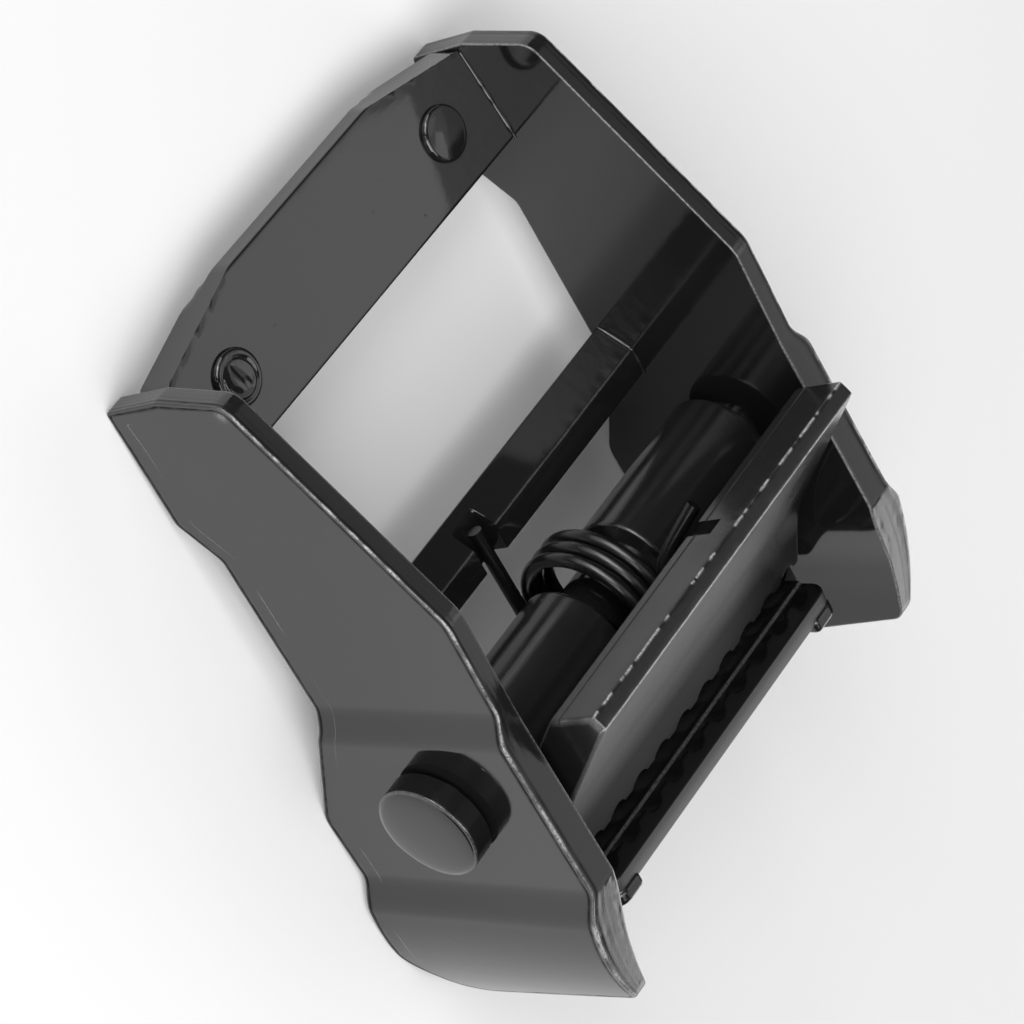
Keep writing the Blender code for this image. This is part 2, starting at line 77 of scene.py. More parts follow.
print("pin axis in mm:", PIN_AT.round(3), "tilt in degrees:", round(math.degrees(TILT), 2))

# %% [markdown]
# ## Small tools for curves
# Sheet metal is drawn as an outline with a radius at each corner. Instead of rounding a mesh afterwards, the
# outline itself gets its arcs, because then the same curve can be carried along an edge or a bend without a
# break. The other tools put points at even distances on such a line, find which way its outside lies, and
# give soft steps and soft random heights.

# %% Rounded outlines, even spacing and outward directions
def fillet(corners, step=0.08, closed=True):
    """Line through corners (a, b, radius), where each corner is replaced by an arc tangent to its two sides.

    With half the corner's angle h, the arc starts radius / tan(h) before the corner and its centre lies
    radius / sin(h) from the corner on the bisector.
    """
    corners = [np.array(c, float) for c in corners]
    out = []
    for i, (a, b, radius) in enumerate(corners):
        here = np.array([a, b])
        if radius <= 0 or (not closed and i in (0, len(corners) - 1)):
            out.append(here[None])
            continue
        before = corners[i - 1][:2] - here
        after = corners[(i + 1) % len(corners)][:2] - here
        before_length, after_length = np.hypot(*before), np.hypot(*after)
        before, after = before / before_length, after / after_length
        half = math.acos(np.clip(before @ after, -1, 1)) / 2
        run = min(radius / math.tan(half), 0.45 * before_length, 0.45 * after_length)
        radius = run * math.tan(half)
        middle = here + (before + after) / np.hypot(*(before + after)) * run / math.cos(half)
        spoke = here + before * run - middle
        swing = (math.pi - 2 * half) * (1 if before[0] * after[1] - before[1] * after[0] < 0 else -1)
        t = np.linspace(0, swing, max(3, int(abs(swing) * radius / step)) + 1)
        out.append(middle + np.stack([
            spoke[0] * np.cos(t) - spoke[1] * np.sin(t),
            spoke[0] * np.sin(t) + spoke[1] * np.cos(t),
        ], axis=1))
    return np.concatenate(out)


def lengths(line):
    """Distance travelled along a line at each of its points."""
    return np.concatenate([[0], np.cumsum(np.linalg.norm(np.diff(line, axis=0), axis=1))])


def evenly(line, step, closed=True):
    """The same line with points about step apart; a closed line doesn't repeat its first point."""
    if closed:
        line = np.vstack([line, line[:1]])
    at = lengths(line)
    count = max(2, int(round(at[-1] / step)))
    wanted = np.linspace(0, at[-1], count + 1)[: count if closed else count + 1]
    return np.stack([np.interp(wanted, at, line[:, k]) for k in range(line.shape[1])], axis=1)


def flats_kept(line, longest, hold=0.06):
    """Keeps the arcs of a closed line and divides its straight runs, with a point close to each end.

    The close points hold the shading of a flat face flat right up to its rounded edge.
    """
    following = np.roll(line, -1, axis=0)
    out = []
    for a, b in zip(line, following):
        run = np.hypot(*(b - a))
        if run > 3 * hold:
            inner = np.linspace(hold / run, 1 - hold / run, max(2, int(run / longest) + 1))
            out.append(a + np.concatenate([[0], inner])[:, None] * (b - a))
        else:
            out.append(a[None])
    return np.concatenate(out)


def outside(loop):
    """Unit directions out of a closed loop: its tangent turned by a right angle, signed by its area."""
    tangent = np.roll(loop, -1, axis=0) - np.roll(loop, 1, axis=0)
    tangent /= np.maximum(np.linalg.norm(tangent, axis=1, keepdims=True), 1e-12)
    after = np.roll(loop, -1, axis=0)
    area = (loop[:, 0] * after[:, 1] - loop[:, 1] * after[:, 0]).sum()
    return np.sign(area) * np.stack([tangent[:, 1], -tangent[:, 0]], axis=1)


def smoothstep(value, low, high):
    """0 below low, 1 above high and 3t^2 - 2t^3 between them."""
    t = np.clip((value - low) / (high - low), 0, 1)
    return t * t * (3 - 2 * t)


def wander(at, pitch, seed, count=4096):
    """Soft random height from 0 to 1 along a line: seeded values every pitch mm, joined by smooth steps."""
    values = np.random.default_rng(seed).random(count)
    cell = np.floor(np.asarray(at) / pitch).astype(int)
    t = np.asarray(at) / pitch - cell
    t = t * t * (3 - 2 * t)
    return values[cell % count] * (1 - t) + values[(cell + 1) % count] * t


print("points round a square with arcs:", len(fillet([(0, 0, 1), (9, 0, 1), (9, 9, 1), (0, 9, 1)])))

# %% [markdown]
# ## From grids of points to pieces
# Every surface here is a grid: rows and columns of points worked out as whole arrays. Joining each point to
# its neighbours gives the faces, and a merge of equal points closes the seam of a ring and the tip of a cap.
# Sharp edges are marked by angle, so real corners stay crisp while bends and rounds shade smoothly. Where a
# surface is worn, where it gets a painted highlight or painted shade, and where it is dulled and greyed as a
# painted sheen is known while its points are worked out, so it goes along as attributes.

# %% Mesh from grids, checked against its CAD node
def grid_faces(rows, columns, wrap, start):
    """Four-cornered faces between neighbours of a grid; wrap joins the last column to the first."""
    i, j = np.meshgrid(np.arange(rows - 1), np.arange(columns if wrap else columns - 1), indexing="ij")
    k = (j + 1) % columns
    near, beyond = i * columns, (i + 1) * columns
    return start + np.stack([near + j, near + k, beyond + k, beyond + j], axis=-1)


def make_piece(name, grids, nodes, body, sharp=38):
    """Builds one object from grids (points, wrap, then up to three marks) that stands for its CAD nodes.

    The marks are edge, how near a sheared or cast edge is; then thin lines and spots on it, where 1 is light,
    as a scratch or a painted highlight, and -1 is painted shade; then faces that are rougher and greyer, the
    grey being a painted sheen. The object rides on its body and stays at the origin.
    """
    points, faces, marks, count = [], [], {"edge": [], "painted_highlight_shade_and_wear": [], "satin_and_painted_sheen": []}, 0
    for shape, wrap, *given in grids:
        rows, columns = shape.shape[:2]
        points.append(place(shape).reshape(-1, 3))
        faces.append(grid_faces(rows, columns, wrap, count).reshape(-1, 4))
        for label, value in zip(marks, [*given, 0.0, 0.0, 0.0]):
            marks[label].append(np.broadcast_to(value, (rows, columns)).reshape(-1))
        count += rows * columns
    mesh = bpy.data.meshes.new(name)
    mesh.from_pydata(np.concatenate(points), [], np.concatenate(faces).tolist())
    for label, values in marks.items():
        layer = mesh.attributes.new(label, "FLOAT", "POINT")
        layer.data.foreach_set("value", np.concatenate(values).astype(np.float32))
    shape = bmesh.new()
    shape.from_mesh(mesh)
    bmesh.ops.remove_doubles(shape, verts=shape.verts, dist=1e-7)
    bmesh.ops.dissolve_degenerate(shape, edges=shape.edges, dist=1e-9)
    bmesh.ops.recalc_face_normals(shape, faces=shape.faces)
    shape.to_mesh(mesh)
    shape.free()
    mesh.shade_smooth()
    mesh.set_sharp_from_angle(angle=math.radians(sharp))
    piece = bpy.data.objects.new(name, mesh)
    bpy.context.scene.collection.objects.link(piece)
    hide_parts(*nodes)
    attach(piece, body)
    size = np.array([v.co for v in mesh.vertices])
    low = np.min([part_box(n)[0] for n in nodes], axis=0)
    high = np.max([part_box(n)[1] for n in nodes], axis=0)
    print(f"{name}: {len(mesh.polygons)} faces; beyond its node by mm",
          ((low - size.min(0)) / MM).round(3), ((size.max(0) - high) / MM).round(3))
    return piece


def rounded_ends(low, high, radius, step, turns=4):
    """Stations from low to high with the inset that rounds each end: radius * (1 - cos) of a quarter turn."""
    t = np.linspace(0, math.pi / 2, turns + 1)
    along = radius * (1 - np.sin(t[::-1]))
    inset = radius * (1 - np.cos(t[::-1]))
    middle = np.linspace(low + radius, high - radius, max(2, int((high - low) / step)))[1:-1]
    hold = [low + radius + 0.05, high - radius - 0.05]
    middle = np.sort(np.concatenate([middle, hold]))
    return (
        np.concatenate([low + along, middle, high - along[::-1]]),
        np.concatenate([inset, 0 * middle, inset[::-1]]),
    )


CAP_RING = 0.93


def carried(loop, along, inset, axis, pole=None):
    """A closed loop carried along X or Y, drawn in by inset at each station and closed to poles.

    One more ring near the rim of each cap keeps the cap's shading and its marks apart from the edge's.
    """
    out = outside(loop)
    flat = loop[None] - out[None] * inset[:, None, None]
    pole = loop.mean(axis=0) if pole is None else np.array(pole, float)
    first, last = (pole + (flat[[k]] - pole) * CAP_RING for k in (0, -1))
    tip = np.broadcast_to(pole, flat[:1].shape)
    flat = np.concatenate([tip, first, flat, last, tip])
    along = np.concatenate([along[:1], along[:1], along, along[-1:], along[-1:]])
    along = np.broadcast_to(along[:, None], flat.shape[:2])
    first, height = flat[..., 0], flat[..., 1]
    return np.stack((along, first, height) if axis == "X" else (first, along, height), axis=-1)


# %% [markdown]
# ## Side plates
# Each side of the frame is stamped from 1.25 mm sheet. The press pushes it outward twice, beside the pin and
# at the mouth, and curls the mouth back in. A stamped edge has its own face: the punch rolls the metal over
# on one side, a band is sheared clean, and the rest tears. The coating pulls thin on the corner and sinks in
# beside it. A thick outline with a bevel would lack all that. The plate is therefore made as columns that
# start on a line down its middle, run out over the outer face, round the sheared edge and come back over the
# inner face. The bend is added last, as a width for each Y.

# %% Sizes of the plates
SHEET = 1.25
INNER_HALF = 13.9
OUTER_HALF = INNER_HALF + SHEET
# Each corner is Y, Z and the radius of its arc.
SIDE_OUTLINE = [
    (-26.0, -7.6, 0.3), (-26.6, -3.6, 0.0), (-26.2, 0.9, 1.2), (-12.1, 7.1, 2.0), (-5.5, 6.8, 2.0),
    (5.6, 6.85, 1.8), (14.0, 4.6, 0.9), (15.7, -8.4, 1.9), (11.4, -10.2, 2.5), (5.5, -9.35, 3.0),
    (1.2, -9.5, 2.0), (-5.0, -6.0, 1.0), (-16.2, -6.0, 1.0), (-18.6, -7.65, 0.8),
]


def plate_outer(y):
    """Half width to the outer face: 0.8 out at the pin, 0.75 more at the mouth, then 2.1 t^2 in again."""
    turn = np.clip((y - 8.0) / 7.0, 0, 1.2)
    return OUTER_HALF + 0.8 * smoothstep(y, -6.3, -4.3) + 0.75 * smoothstep(y, 5.2, 7.4) - 2.1 * turn ** 2


def plate_inner(y):
    """Half width to the inner face: straight, then a little wider inside the mouth."""
    return INNER_HALF + 0.5 * smoothstep(y, 6.0, 10.5) - 0.25 * smoothstep(y, 11.5, 15.5)


# %% Rim of the plate with the start of each column
def plate_rim(step=0.14):
    """Points round the outline and the point on the plate's middle line that each column starts from.

    Above and below the middle line the columns share their Y, so both halves meet in the same points.
    At the two ends the columns fan out from the ends of the line.
    """
    first, last = (-23.0, -3.4), (11.0, -2.0)
    dense = evenly(fillet(SIDE_OUTLINE, 0.02), 0.02)
    dense = np.roll(dense, -int(np.argmax((abs(dense[:, 0]) < 0.05) & (dense[:, 1] > 0))), axis=0)
    middle = np.interp(dense[:, 0], [first[0], last[0]], [first[1], last[1]])
    above, below = dense[dense[:, 1] > middle], dense[dense[:, 1] < middle]
    above, below = above[np.argsort(above[:, 0])], below[np.argsort(below[:, 0])]
    y = np.linspace(first[0], last[0], int((last[0] - first[0]) / step) + 1)
    spine = np.stack([y, np.interp(y, [first[0], last[0]], [first[1], last[1]])], axis=1)
    top = np.stack([y, np.interp(y, above[:, 0], above[:, 1])], axis=1)
    bottom = np.stack([y, np.interp(y, below[:, 0], below[:, 1])], axis=1)
    mouth = dense[dense[:, 0] > last[0]][3::7]
    sewn = dense[dense[:, 0] < first[0]][3::7]
    rim = np.concatenate([top, mouth, bottom[::-1], sewn])
    start = np.concatenate([
        spine, np.broadcast_to(last, mouth.shape), spine[::-1], np.broadcast_to(first, sewn.shape)
    ])
    return rim, start


# %% Rows over the face, round the sheared edge and back
ROLL, BURR = 0.10, 0.07
CLOSE_ROWS = np.array([1.6, 1.24, 1.2, 1.16, 0.9, 0.7, 0.56, 0.46, 0.38, 0.31, 0.25, 0.2, 0.15, 0.1, 0.05])
SCRATCH_AT = 1.2


def plate_rows(length):
    """Reach from the middle line, inset from the outline and share of the sheet (1 is the outer face) by row.

    Rows near the rim keep a fixed distance to it, and the others divide what is left to the middle line.
    Outer roll: inset 0.1 (1 - sin a), share 1 - 0.1 (1 - cos a) / sheet; the inner edge is alike with 0.07.
    """
    quarter = np.linspace(0, math.pi / 2, 6)
    far_rows = np.linspace(0, 1, 13)[:-1, None] * (1 - CLOSE_ROWS[0] / length)
    fine = np.concatenate([far_rows, 1 - CLOSE_ROWS[:, None] / length])
    coarse = np.concatenate([far_rows, 1 - CLOSE_ROWS[[0, 4, 6, 9, 12, 14], None] / length])
    band = np.linspace(1 - ROLL / SHEET, BURR / SHEET, 18)[1:-1]
    edge_rows = np.ones((len(band) + 2 * len(quarter), length.shape[1]))
    reach = np.concatenate([fine, edge_rows, coarse[::-1]])
    inset = np.concatenate([
        np.full(len(fine), ROLL), ROLL * (1 - np.sin(quarter)), 0 * band,
        BURR * (1 - np.cos(quarter)), np.full(len(coarse), BURR),
    ])
    share = np.concatenate([
        np.ones(len(fine)), 1 - ROLL / SHEET * (1 - np.cos(quarter)), band,
        BURR / SHEET * (1 - np.sin(quarter)), np.zeros(len(coarse)),
    ])
    return reach, inset[:, None], share[:, None]


# %% Grooves, worn lines and seams of one plate
def side_plate(side, seed):
    """Grid of one plate. Its sheared band has two shallow grooves with a ridge between them, whose depth
    wanders along the edge, and a furrow where the coating sinks in beside the outer corner."""
    rim, start = plate_rim()
    travelled = lengths(rim)
    length = np.linalg.norm(rim - start, axis=1)[None]
    reach, inset, s = plate_rows(length)
    at_edge, outer_face = reach >= 1, s > 0.99
    rough = 0.3 + 0.7 * wander(travelled, 0.6, seed)[None]
    ragged = wander(travelled + 40 * s, 0.3, seed + 1)
    groove = np.exp(-((s - 0.9) / 0.05) ** 2) * 0.035 + np.exp(-((s - 0.66) / 0.06) ** 2) * 0.015
    torn = 0.015 * np.exp(-((s - 0.14) / 0.08) ** 2) * ragged
    on_edge = at_edge * smoothstep(1 - abs(2 * s - 1), 0.0, 0.04)
    smoother = 1 - 0.85 * smoothstep(rim[:, 0], 8.0, 11.0)[None]
    dent = (groove * rough * (0.4 + ragged) + torn) * on_edge * smoother
    edge_point = rim[None] - outside(rim)[None] * (inset + dent)[..., None]
    flat = start[None] * (1 - reach)[..., None] + edge_point * reach[..., None]
    y, z = flat[..., 0], flat[..., 1]
    away = (1 - reach) * length
    furrow = 0.035 * np.exp(-((away - 0.17) / 0.08) ** 2) * rough * outer_face * (reach < 1)
    x = side * (plate_inner(y) * (1 - s) + plate_outer(y) * s - furrow)
    near_edge = np.exp(-((away - 0.1) / 0.22) ** 2) * (s > 0.5) + 0.3 * (s <= 0.5) * at_edge

    # Painted highlight in dashes along the outer corner and a thin one on the inner edge, painted shade in
    # lines on both sides of the corner, a light scratch, and a painted highlight spot near the sewn corner.
    patches = wander(travelled, 0.9, seed + 5)[None]
    dashes = smoothstep(wander(travelled, 0.5, seed + 6)[None], 0.15, 0.7)
    corner = at_edge * np.exp(-((s - 0.955) / 0.045) ** 2) * (0.3 + 1.3 * patches * dashes)
    corner = corner * smoothstep(rim[:, 0], -26.0, -25.5)[None]
    painted_shade_lines = (reach < 1) * outer_face * np.exp(-((away - 0.17) / 0.1) ** 2) * (0.65 + 0.35 * ragged)
    painted_shade_lines = painted_shade_lines + at_edge * np.exp(-((s - 0.82) / 0.05) ** 2) * (0.4 + 0.5 * patches)
    inner_line = at_edge * np.exp(-((s - 0.02) / 0.03) ** 2) * 0.5
    below = ((rim[:, 1] < -4.0) & (rim[:, 0] < 12.0))[None]
    scratch = outer_face * (abs(away - SCRATCH_AT) < 0.02) * below
    scratch = 0.5 * scratch * smoothstep(wander(travelled, 2.6, seed + 7)[None], 0.45, 0.8)
    # A painted highlight: a light spot near the sewn corner, with no shape of its own.
    drop = 0.45 * (s > 0.9) * np.exp(-((y + 25.75) ** 2 + (z - 0.55) ** 2) / 0.35 ** 2)
    painted_highlight_shade_and_wear = np.clip(corner + inner_line + drop + scratch - painted_shade_lines, -1, 1)
    return np.stack([x, y, z], axis=-1), True, near_edge, painted_highlight_shade_and_wear


print("columns round one plate:", len(plate_rim()[0]))

# %% [markdown]
# ## Flanges under the sewn end
# The foot of each plate is bent inward and carries the end plate, with one rivet through both. The flange is
# a plate with a hole, so it is worked out as a ring: for every direction round the rivet there is one point
# on the hole and one on the outline, and the faces between them are straight lines from one to the other.

# %% Ring between a hole and an outline
FLANGE_UNDER, FLANGE_TOP = -7.63, -6.53
FLANGE_HOLE = 1.35
RIVET_X, RIVET_Y = 9.9, -23.8


def ring_plate(outline, centre, radius, low, high, rounding=0.1):
    """Flat plate with a round hole: rows go hole, underside, edge, top and back down the hole."""
    centre = np.array(centre)
    turn = np.linspace(0, 2 * math.pi, 121)[:-1]
    dense = evenly(outline, 0.02)
    away = np.arctan2(*(dense - centre).T[::-1]) % (2 * math.pi)
    order = np.argsort(away)
    around, dense = away[order], dense[order]
    far = np.stack([np.interp(turn, around, dense[:, k], period=2 * math.pi) for k in (0, 1)], axis=1)
    ray = np.stack([np.cos(turn), np.sin(turn)], axis=1)
    hole, lip = centre + ray * radius, centre + ray * (radius + rounding)
    inward = (centre - far) / np.linalg.norm(centre - far, axis=1, keepdims=True) * rounding
    quarter = np.linspace(0, math.pi / 2, 5)
    out, up = 1 - np.sin(quarter), rounding * (1 - np.cos(quarter))
    across = np.array([0.3, 0.6, 0.9])
    spread = [lip + (far + inward - lip) * f for f in across]
    edge = [far + inward * f for f in out]
    flat = np.stack([hole, lip, *spread, *edge, *edge[::-1], *spread[::-1], lip, hole, hole])
    heights = [low + rounding, low, low, low, low, *(low + up)]
    heights += [*(high - up[::-1]), high, high, high, high, high - rounding, low + rounding]
    height = np.broadcast_to(np.array(heights)[:, None], flat.shape[:2])
    return np.concatenate([flat, height[..., None]], axis=-1)


def flange(side):
    """The bent-in foot of one plate; its root reaches a little into the plate's wall."""
    root = INNER_HALF + 0.3
    corners = [(root, -25.0, 0), (root, -19.0, 0), (6.8, -19.0, 0.8), (6.8, -25.0, 0.8)]
    grid = ring_plate(fillet(corners, 0.05), (RIVET_X, RIVET_Y), FLANGE_HOLE, FLANGE_UNDER, FLANGE_TOP)
    return grid * [side, 1, 1], True, 0.0, 0.0


pieces = {}
for side, name, seed in ((1, "near", 11), (-1, "far", 23)):
    pieces[f"plate_{name}"] = make_piece(
        f"stamped_plate_{name}", [side_plate(side, seed), flange(side)],
        [f"side_plate_{name}"], "frame",
    )

# %% [markdown]
# ## End plate
# The plate that carries the sewn loop is stamped too. It slopes a little towards its outer edge, whose lower
# corner is bevelled, and its two shoulders run back to the side plates. A flat shape pushed up into a solid
# would lose the bevel on the shoulders. So its section is one closed loop that is carried across the buckle,
# and at each station it is cut off where the plan of the plate says.

# %% Section carried across, cut to the plan
SLOPE_ANGLE = math.radians(5.2)
SLOPE = math.tan(SLOPE_ANGLE)
SLOT_EDGE, SEWN_EDGE = -20.4, -28.1
PLATE_RISE = (SLOT_EDGE - SEWN_EDGE) * SLOPE
PLATE_TOP, PLATE_UNDER = -3.5, -5.95
SHOULDER_X, SHOULDER_Y = 6.45, -26.25


def end_plate_grid():
    """Section loop at stations across X; points past the sewn edge of the plan are set back onto it."""
    sewn_top = PLATE_TOP - PLATE_RISE
    low_edge = sewn_top - 1.1
    section = flats_kept(fillet([
        (SEWN_EDGE, sewn_top, 0.14), (SLOT_EDGE, PLATE_TOP, 0.22), (SLOT_EDGE, PLATE_UNDER, 0.15),
        (SEWN_EDGE + low_edge - PLATE_UNDER, PLATE_UNDER, 0.1), (SEWN_EDGE, low_edge, 0.1),
    ], 0.04), 0.4)
    half = INNER_HALF + 0.02
    right = [(SHOULDER_X, SEWN_EDGE, 1.2), (half, SHOULDER_Y, 0.3), (half, -24.0, 0)]
    plan = fillet([(-a, b, radius) for a, b, radius in right[::-1]] + right, 0.1, closed=False)
    x, inset = rounded_ends(-half, half, 0.12, 0.3)
    grid = carried(section, x, inset, "X", pole=(-24.3, -4.9))
    across = grid[..., 0]
    cut = np.interp(across, plan[:, 0], plan[:, 1])
    y = np.maximum(grid[..., 1], cut)
    top = (grid[..., 2] > sewn_top - 0.6) & (y < cut + 0.25)
    nibble = 0.01 * wander(across, 0.5, 31) * np.exp(-((y - cut) / 0.12) ** 2) * top
    grid[..., 1], grid[..., 2] = y, grid[..., 2] - nibble
    edge = np.exp(-((y - cut) / 0.3) ** 2) + np.exp(-((y - SLOT_EDGE) / 0.3) ** 2)
    return grid, True, np.clip(edge, 0, 1) * 0.5, 0.0


pieces["end_plate"] = make_piece(
    "riveted_end_plate", [end_plate_grid()], ["end_plate"], "frame"
)

# %% [markdown]
# ## Rivets
# A rivet head is a solid of revolution. The near one was struck by a worn punch, which left rings and a rough
# face under the coating, while the far one is flat. A sculpted head would need a dense mesh and a steady
# hand. So each head is a profile turned round its own axis, and the near one adds a height that rises and
# falls with the distance from the middle.

# %% Heads turned round the rivet's axis
def revolved(profile, count=96, squeeze=None):
    """Profile (along, radius) turned about the along axis; squeeze adds to along by radius and angle."""
    along, radius = np.array(profile, float).T
    turn = np.linspace(0, 2 * math.pi, count + 1)[:-1]
    a, r = along[:, None] + 0 * turn, radius[:, None] + 0 * turn
    if squeeze is not None:
        a = a + squeeze(r, turn[None] + 0 * r)
    return np.stack([a, r * np.cos(turn), r * np.sin(turn)], axis=-1)


HEAD_FLAT = 1.31


def rivet(side, struck, seed):
    """Flat head of radius 1.55 on the sloped plate, 0.4 high, with its shaft going down into the flange."""
    drop = (SLOT_EDGE - RIVET_Y) * SLOPE
    foot = FLANGE_UNDER + 0.25 - PLATE_TOP + drop
    rim = np.linspace(0, math.pi / 2, 8)
    face = np.linspace(HEAD_FLAT, 0, 26)
    profile = np.concatenate([
        [(foot, 0), (foot, 1.0), (foot + 0.05, 1.05), (0.02, 1.05), (0.02, 1.1), (0.03, 1.5), (0.05, 1.55)],
        np.stack([0.08 + 0.24 * np.sin(rim), HEAD_FLAT + 0.24 * np.cos(rim)], axis=1),
        np.stack([0.32 + 0.08 * (1 - (face / HEAD_FLAT) ** 2), face], axis=1)[1:],
    ])

    def struck_face(r, turn):
        """A broken ring and a wavy, rough middle for the struck head, hardly anything for the other."""
        across, along = r * np.cos(turn), r * np.sin(turn)
        on_face = smoothstep(1.45 - r, 0.0, 0.25) * (profile[:, 0] > 0.2)[:, None]
        rings = -0.10 * np.exp(-((r - 1.12 - 0.07 * np.sin(turn + 1.0)) / 0.09) ** 2)
        rings = rings * (0.35 + 0.65 * smoothstep(np.cos(turn - 0.4) ** 2, 0.1, 0.7))
        dent = 0.04 * np.sin(3.4 * across + 0.9 * np.sin(1.7 * along)) * smoothstep(1.0 - r, 0, 0.3)
        rough = -0.035 * wander(across + 9, 0.3, seed) * wander(along + 9, 0.6, seed + 1)
        gentle = -0.012 * wander(across + 9, 0.8, seed) * wander(along + 9, 0.8, seed + 1)
        return on_face * ((rings + dent + rough) if struck else gentle)

    head = revolved(profile, squeeze=struck_face)
    normal, x, y = head[..., 0], head[..., 1], head[..., 2]
    c, s = math.cos(SLOPE_ANGLE), math.sin(SLOPE_ANGLE)
    seat = PLATE_TOP - drop
    grid = np.stack([side * RIVET_X + x, RIVET_Y + c * y - s * normal, seat + s * y + c * normal], axis=-1)
    return grid, True, 0.0, 0.0


pieces["rivet_near"] = make_piece(
    "struck_rivet_near", [rivet(1, True, 41)], ["end_rivet_near"], "frame", 50
)
pieces["rivet_far"] = make_piece(
    "flat_rivet_far", [rivet(-1, False, 43)], ["end_rivet_far"], "frame", 50
)

# %% [markdown]
# ## Crossbar
# Between the webbing slot and the pin lies a bar bent from 1.3 mm sheet. A notch in its ridge takes one leg
# of the spring, and small weld beads hold bar and end plate to the far plate. The notch could be a boolean
# cut, but that leaves long thin faces. Here the section is carried across the buckle, its ridge is pressed
# down where the notch is, and each bead is a tube whose radius swells and shrinks along its path.

# %% Bent bar with a notch
NOTCH_SIDES, NOTCH_FLOOR = (0.6, 2.6), -4.8


def crossbar_grid():
    """Bent section at stations across X. In the notch no point stays higher than its floor."""
    low, ridge, sheet = np.array([-7.5, -5.3]), np.array([-5.9, -3.7]), 1.3
    slope = (ridge - low) / np.hypot(*(ridge - low))
    foot = low + np.array([slope[1], -slope[0]]) * sheet
    half_bend = math.radians(22.5)
    inner = (ridge[0] + sheet * math.tan(half_bend), ridge[1] - sheet)
    section = flats_kept(fillet([
        (*low, 0.12), (*ridge, 0.3), (-4.2, ridge[1], 0.2), (-4.2, ridge[1] - sheet, 0.12),
        (*inner, 0.2), (*foot, 0.12),
    ], 0.04), 0.2)
    x, inset = rounded_ends(-13.92, 13.92, 0.05, 0.25)
    cuts = np.concatenate([at + np.linspace(-0.14, 0.14, 9) for at in NOTCH_SIDES])
    inset = np.concatenate([inset, 0 * cuts])
    x = np.concatenate([x, cuts])
    order = np.argsort(x, kind="stable")
    x, inset = x[order], inset[order]
    grid = carried(section, x, inset, "X", pole=(-5.75, -4.45))
    across, y, z = np.moveaxis(grid, -1, 0)
    first, last = NOTCH_SIDES
    inside = smoothstep(across, first - 0.1, first + 0.1) - smoothstep(across, last - 0.1, last + 0.1)
    floor = NOTCH_FLOOR + 0.06 * wander(y, 0.5, 53)
    chip = 0.035 * wander(across, 0.4, 55) * np.exp(-((y - ridge[0]) / 0.25) ** 2) * (z > -4.1)
    lowered = z - inside * np.maximum(0, z - floor) - chip * (1 - inside)
    edge = np.exp(-((y - ridge[0]) / 0.2) ** 2) * (lowered > -4.2)
    # A thin painted highlight along the bar's ridge, in patches.
    line = np.exp(-((y + 5.87) / 0.06) ** 2) * (lowered > -4.2) * wander(across, 1.7, 57)
    return np.stack([across, y, lowered], axis=-1), True, edge * 0.6, line * 0.12


# %% Weld beads
def bead(corners, radius, seed):
    """Weld bead: a tube along corners, which it follows softly, whose radius rises and falls along it."""
    path = evenly(np.array(corners, float), 0.12, closed=False)
    swell = radius * (0.75 + 0.5 * wander(lengths(path), 0.5, seed))
    rising = np.linspace(0.05, 1, len(path))
    ends = np.minimum(1, np.sqrt(rising * rising[::-1]) * 2.5)
    turn = np.linspace(0, 2 * math.pi, 19)[:-1]
    along = np.gradient(path, axis=0)
    along /= np.linalg.norm(along, axis=1, keepdims=True)
    side = np.cross(along, [1.0, 0, 0])
    ring = side[:, None] * np.cos(turn)[None, :, None] + np.array([1.0, 0, 0]) * np.sin(turn)[None, :, None]
    rows = path[:, None] + (swell * ends)[:, None, None] * ring
    caps = np.broadcast_to(path[[0, -1]][:, None], (2, *rows.shape[1:]))
    return np.concatenate([caps[:1], rows, caps[1:]]), True, 0.4, 0.0


def welds():
    """Beads where the crossbar and the end plate meet the far plate."""
    far = -INNER_HALF + 0.02
    return [
        bead([(far, -7.45, -5.25), (far, -5.9, -3.72), (far, -4.2, -3.7)], 0.16, 71),
        bead([(far, -26.1, PLATE_TOP - PLATE_RISE * 0.75), (far, SLOT_EDGE + 0.05, PLATE_TOP)], 0.14, 72),
    ]


pieces["crossbar"] = make_piece(
    "bent_crossbar", [crossbar_grid(), *welds()], ["crossbar"], "frame"
)

# %% [markdown]
# ## Anvil bar
# The teeth press the webbing against an upright bar across the mouth. It narrows above its shoulders, where
# it passes between the plates, and two thick lugs hold it to them. Its top leans a little and is rougher,
# with a greyer ground as a painted sheen and painted highlight on it and on the step. A bevelled box would
# lack the shoulders' melted corners. So the bar is a section with a shallow step, carried across, and at each
# station its top follows the bar's outline.

# %% Upright bar
ANVIL_BACK, ANVIL_FRONT, STEP_FRONT = 10.5, 9.12, 9.3
ANVIL_TOP, STEP_HEIGHT, ANVIL_UNDER = 3.2, 1.3, -5.4
ANVIL_ROUND, ANVIL_LEAN = 0.14, 0.19


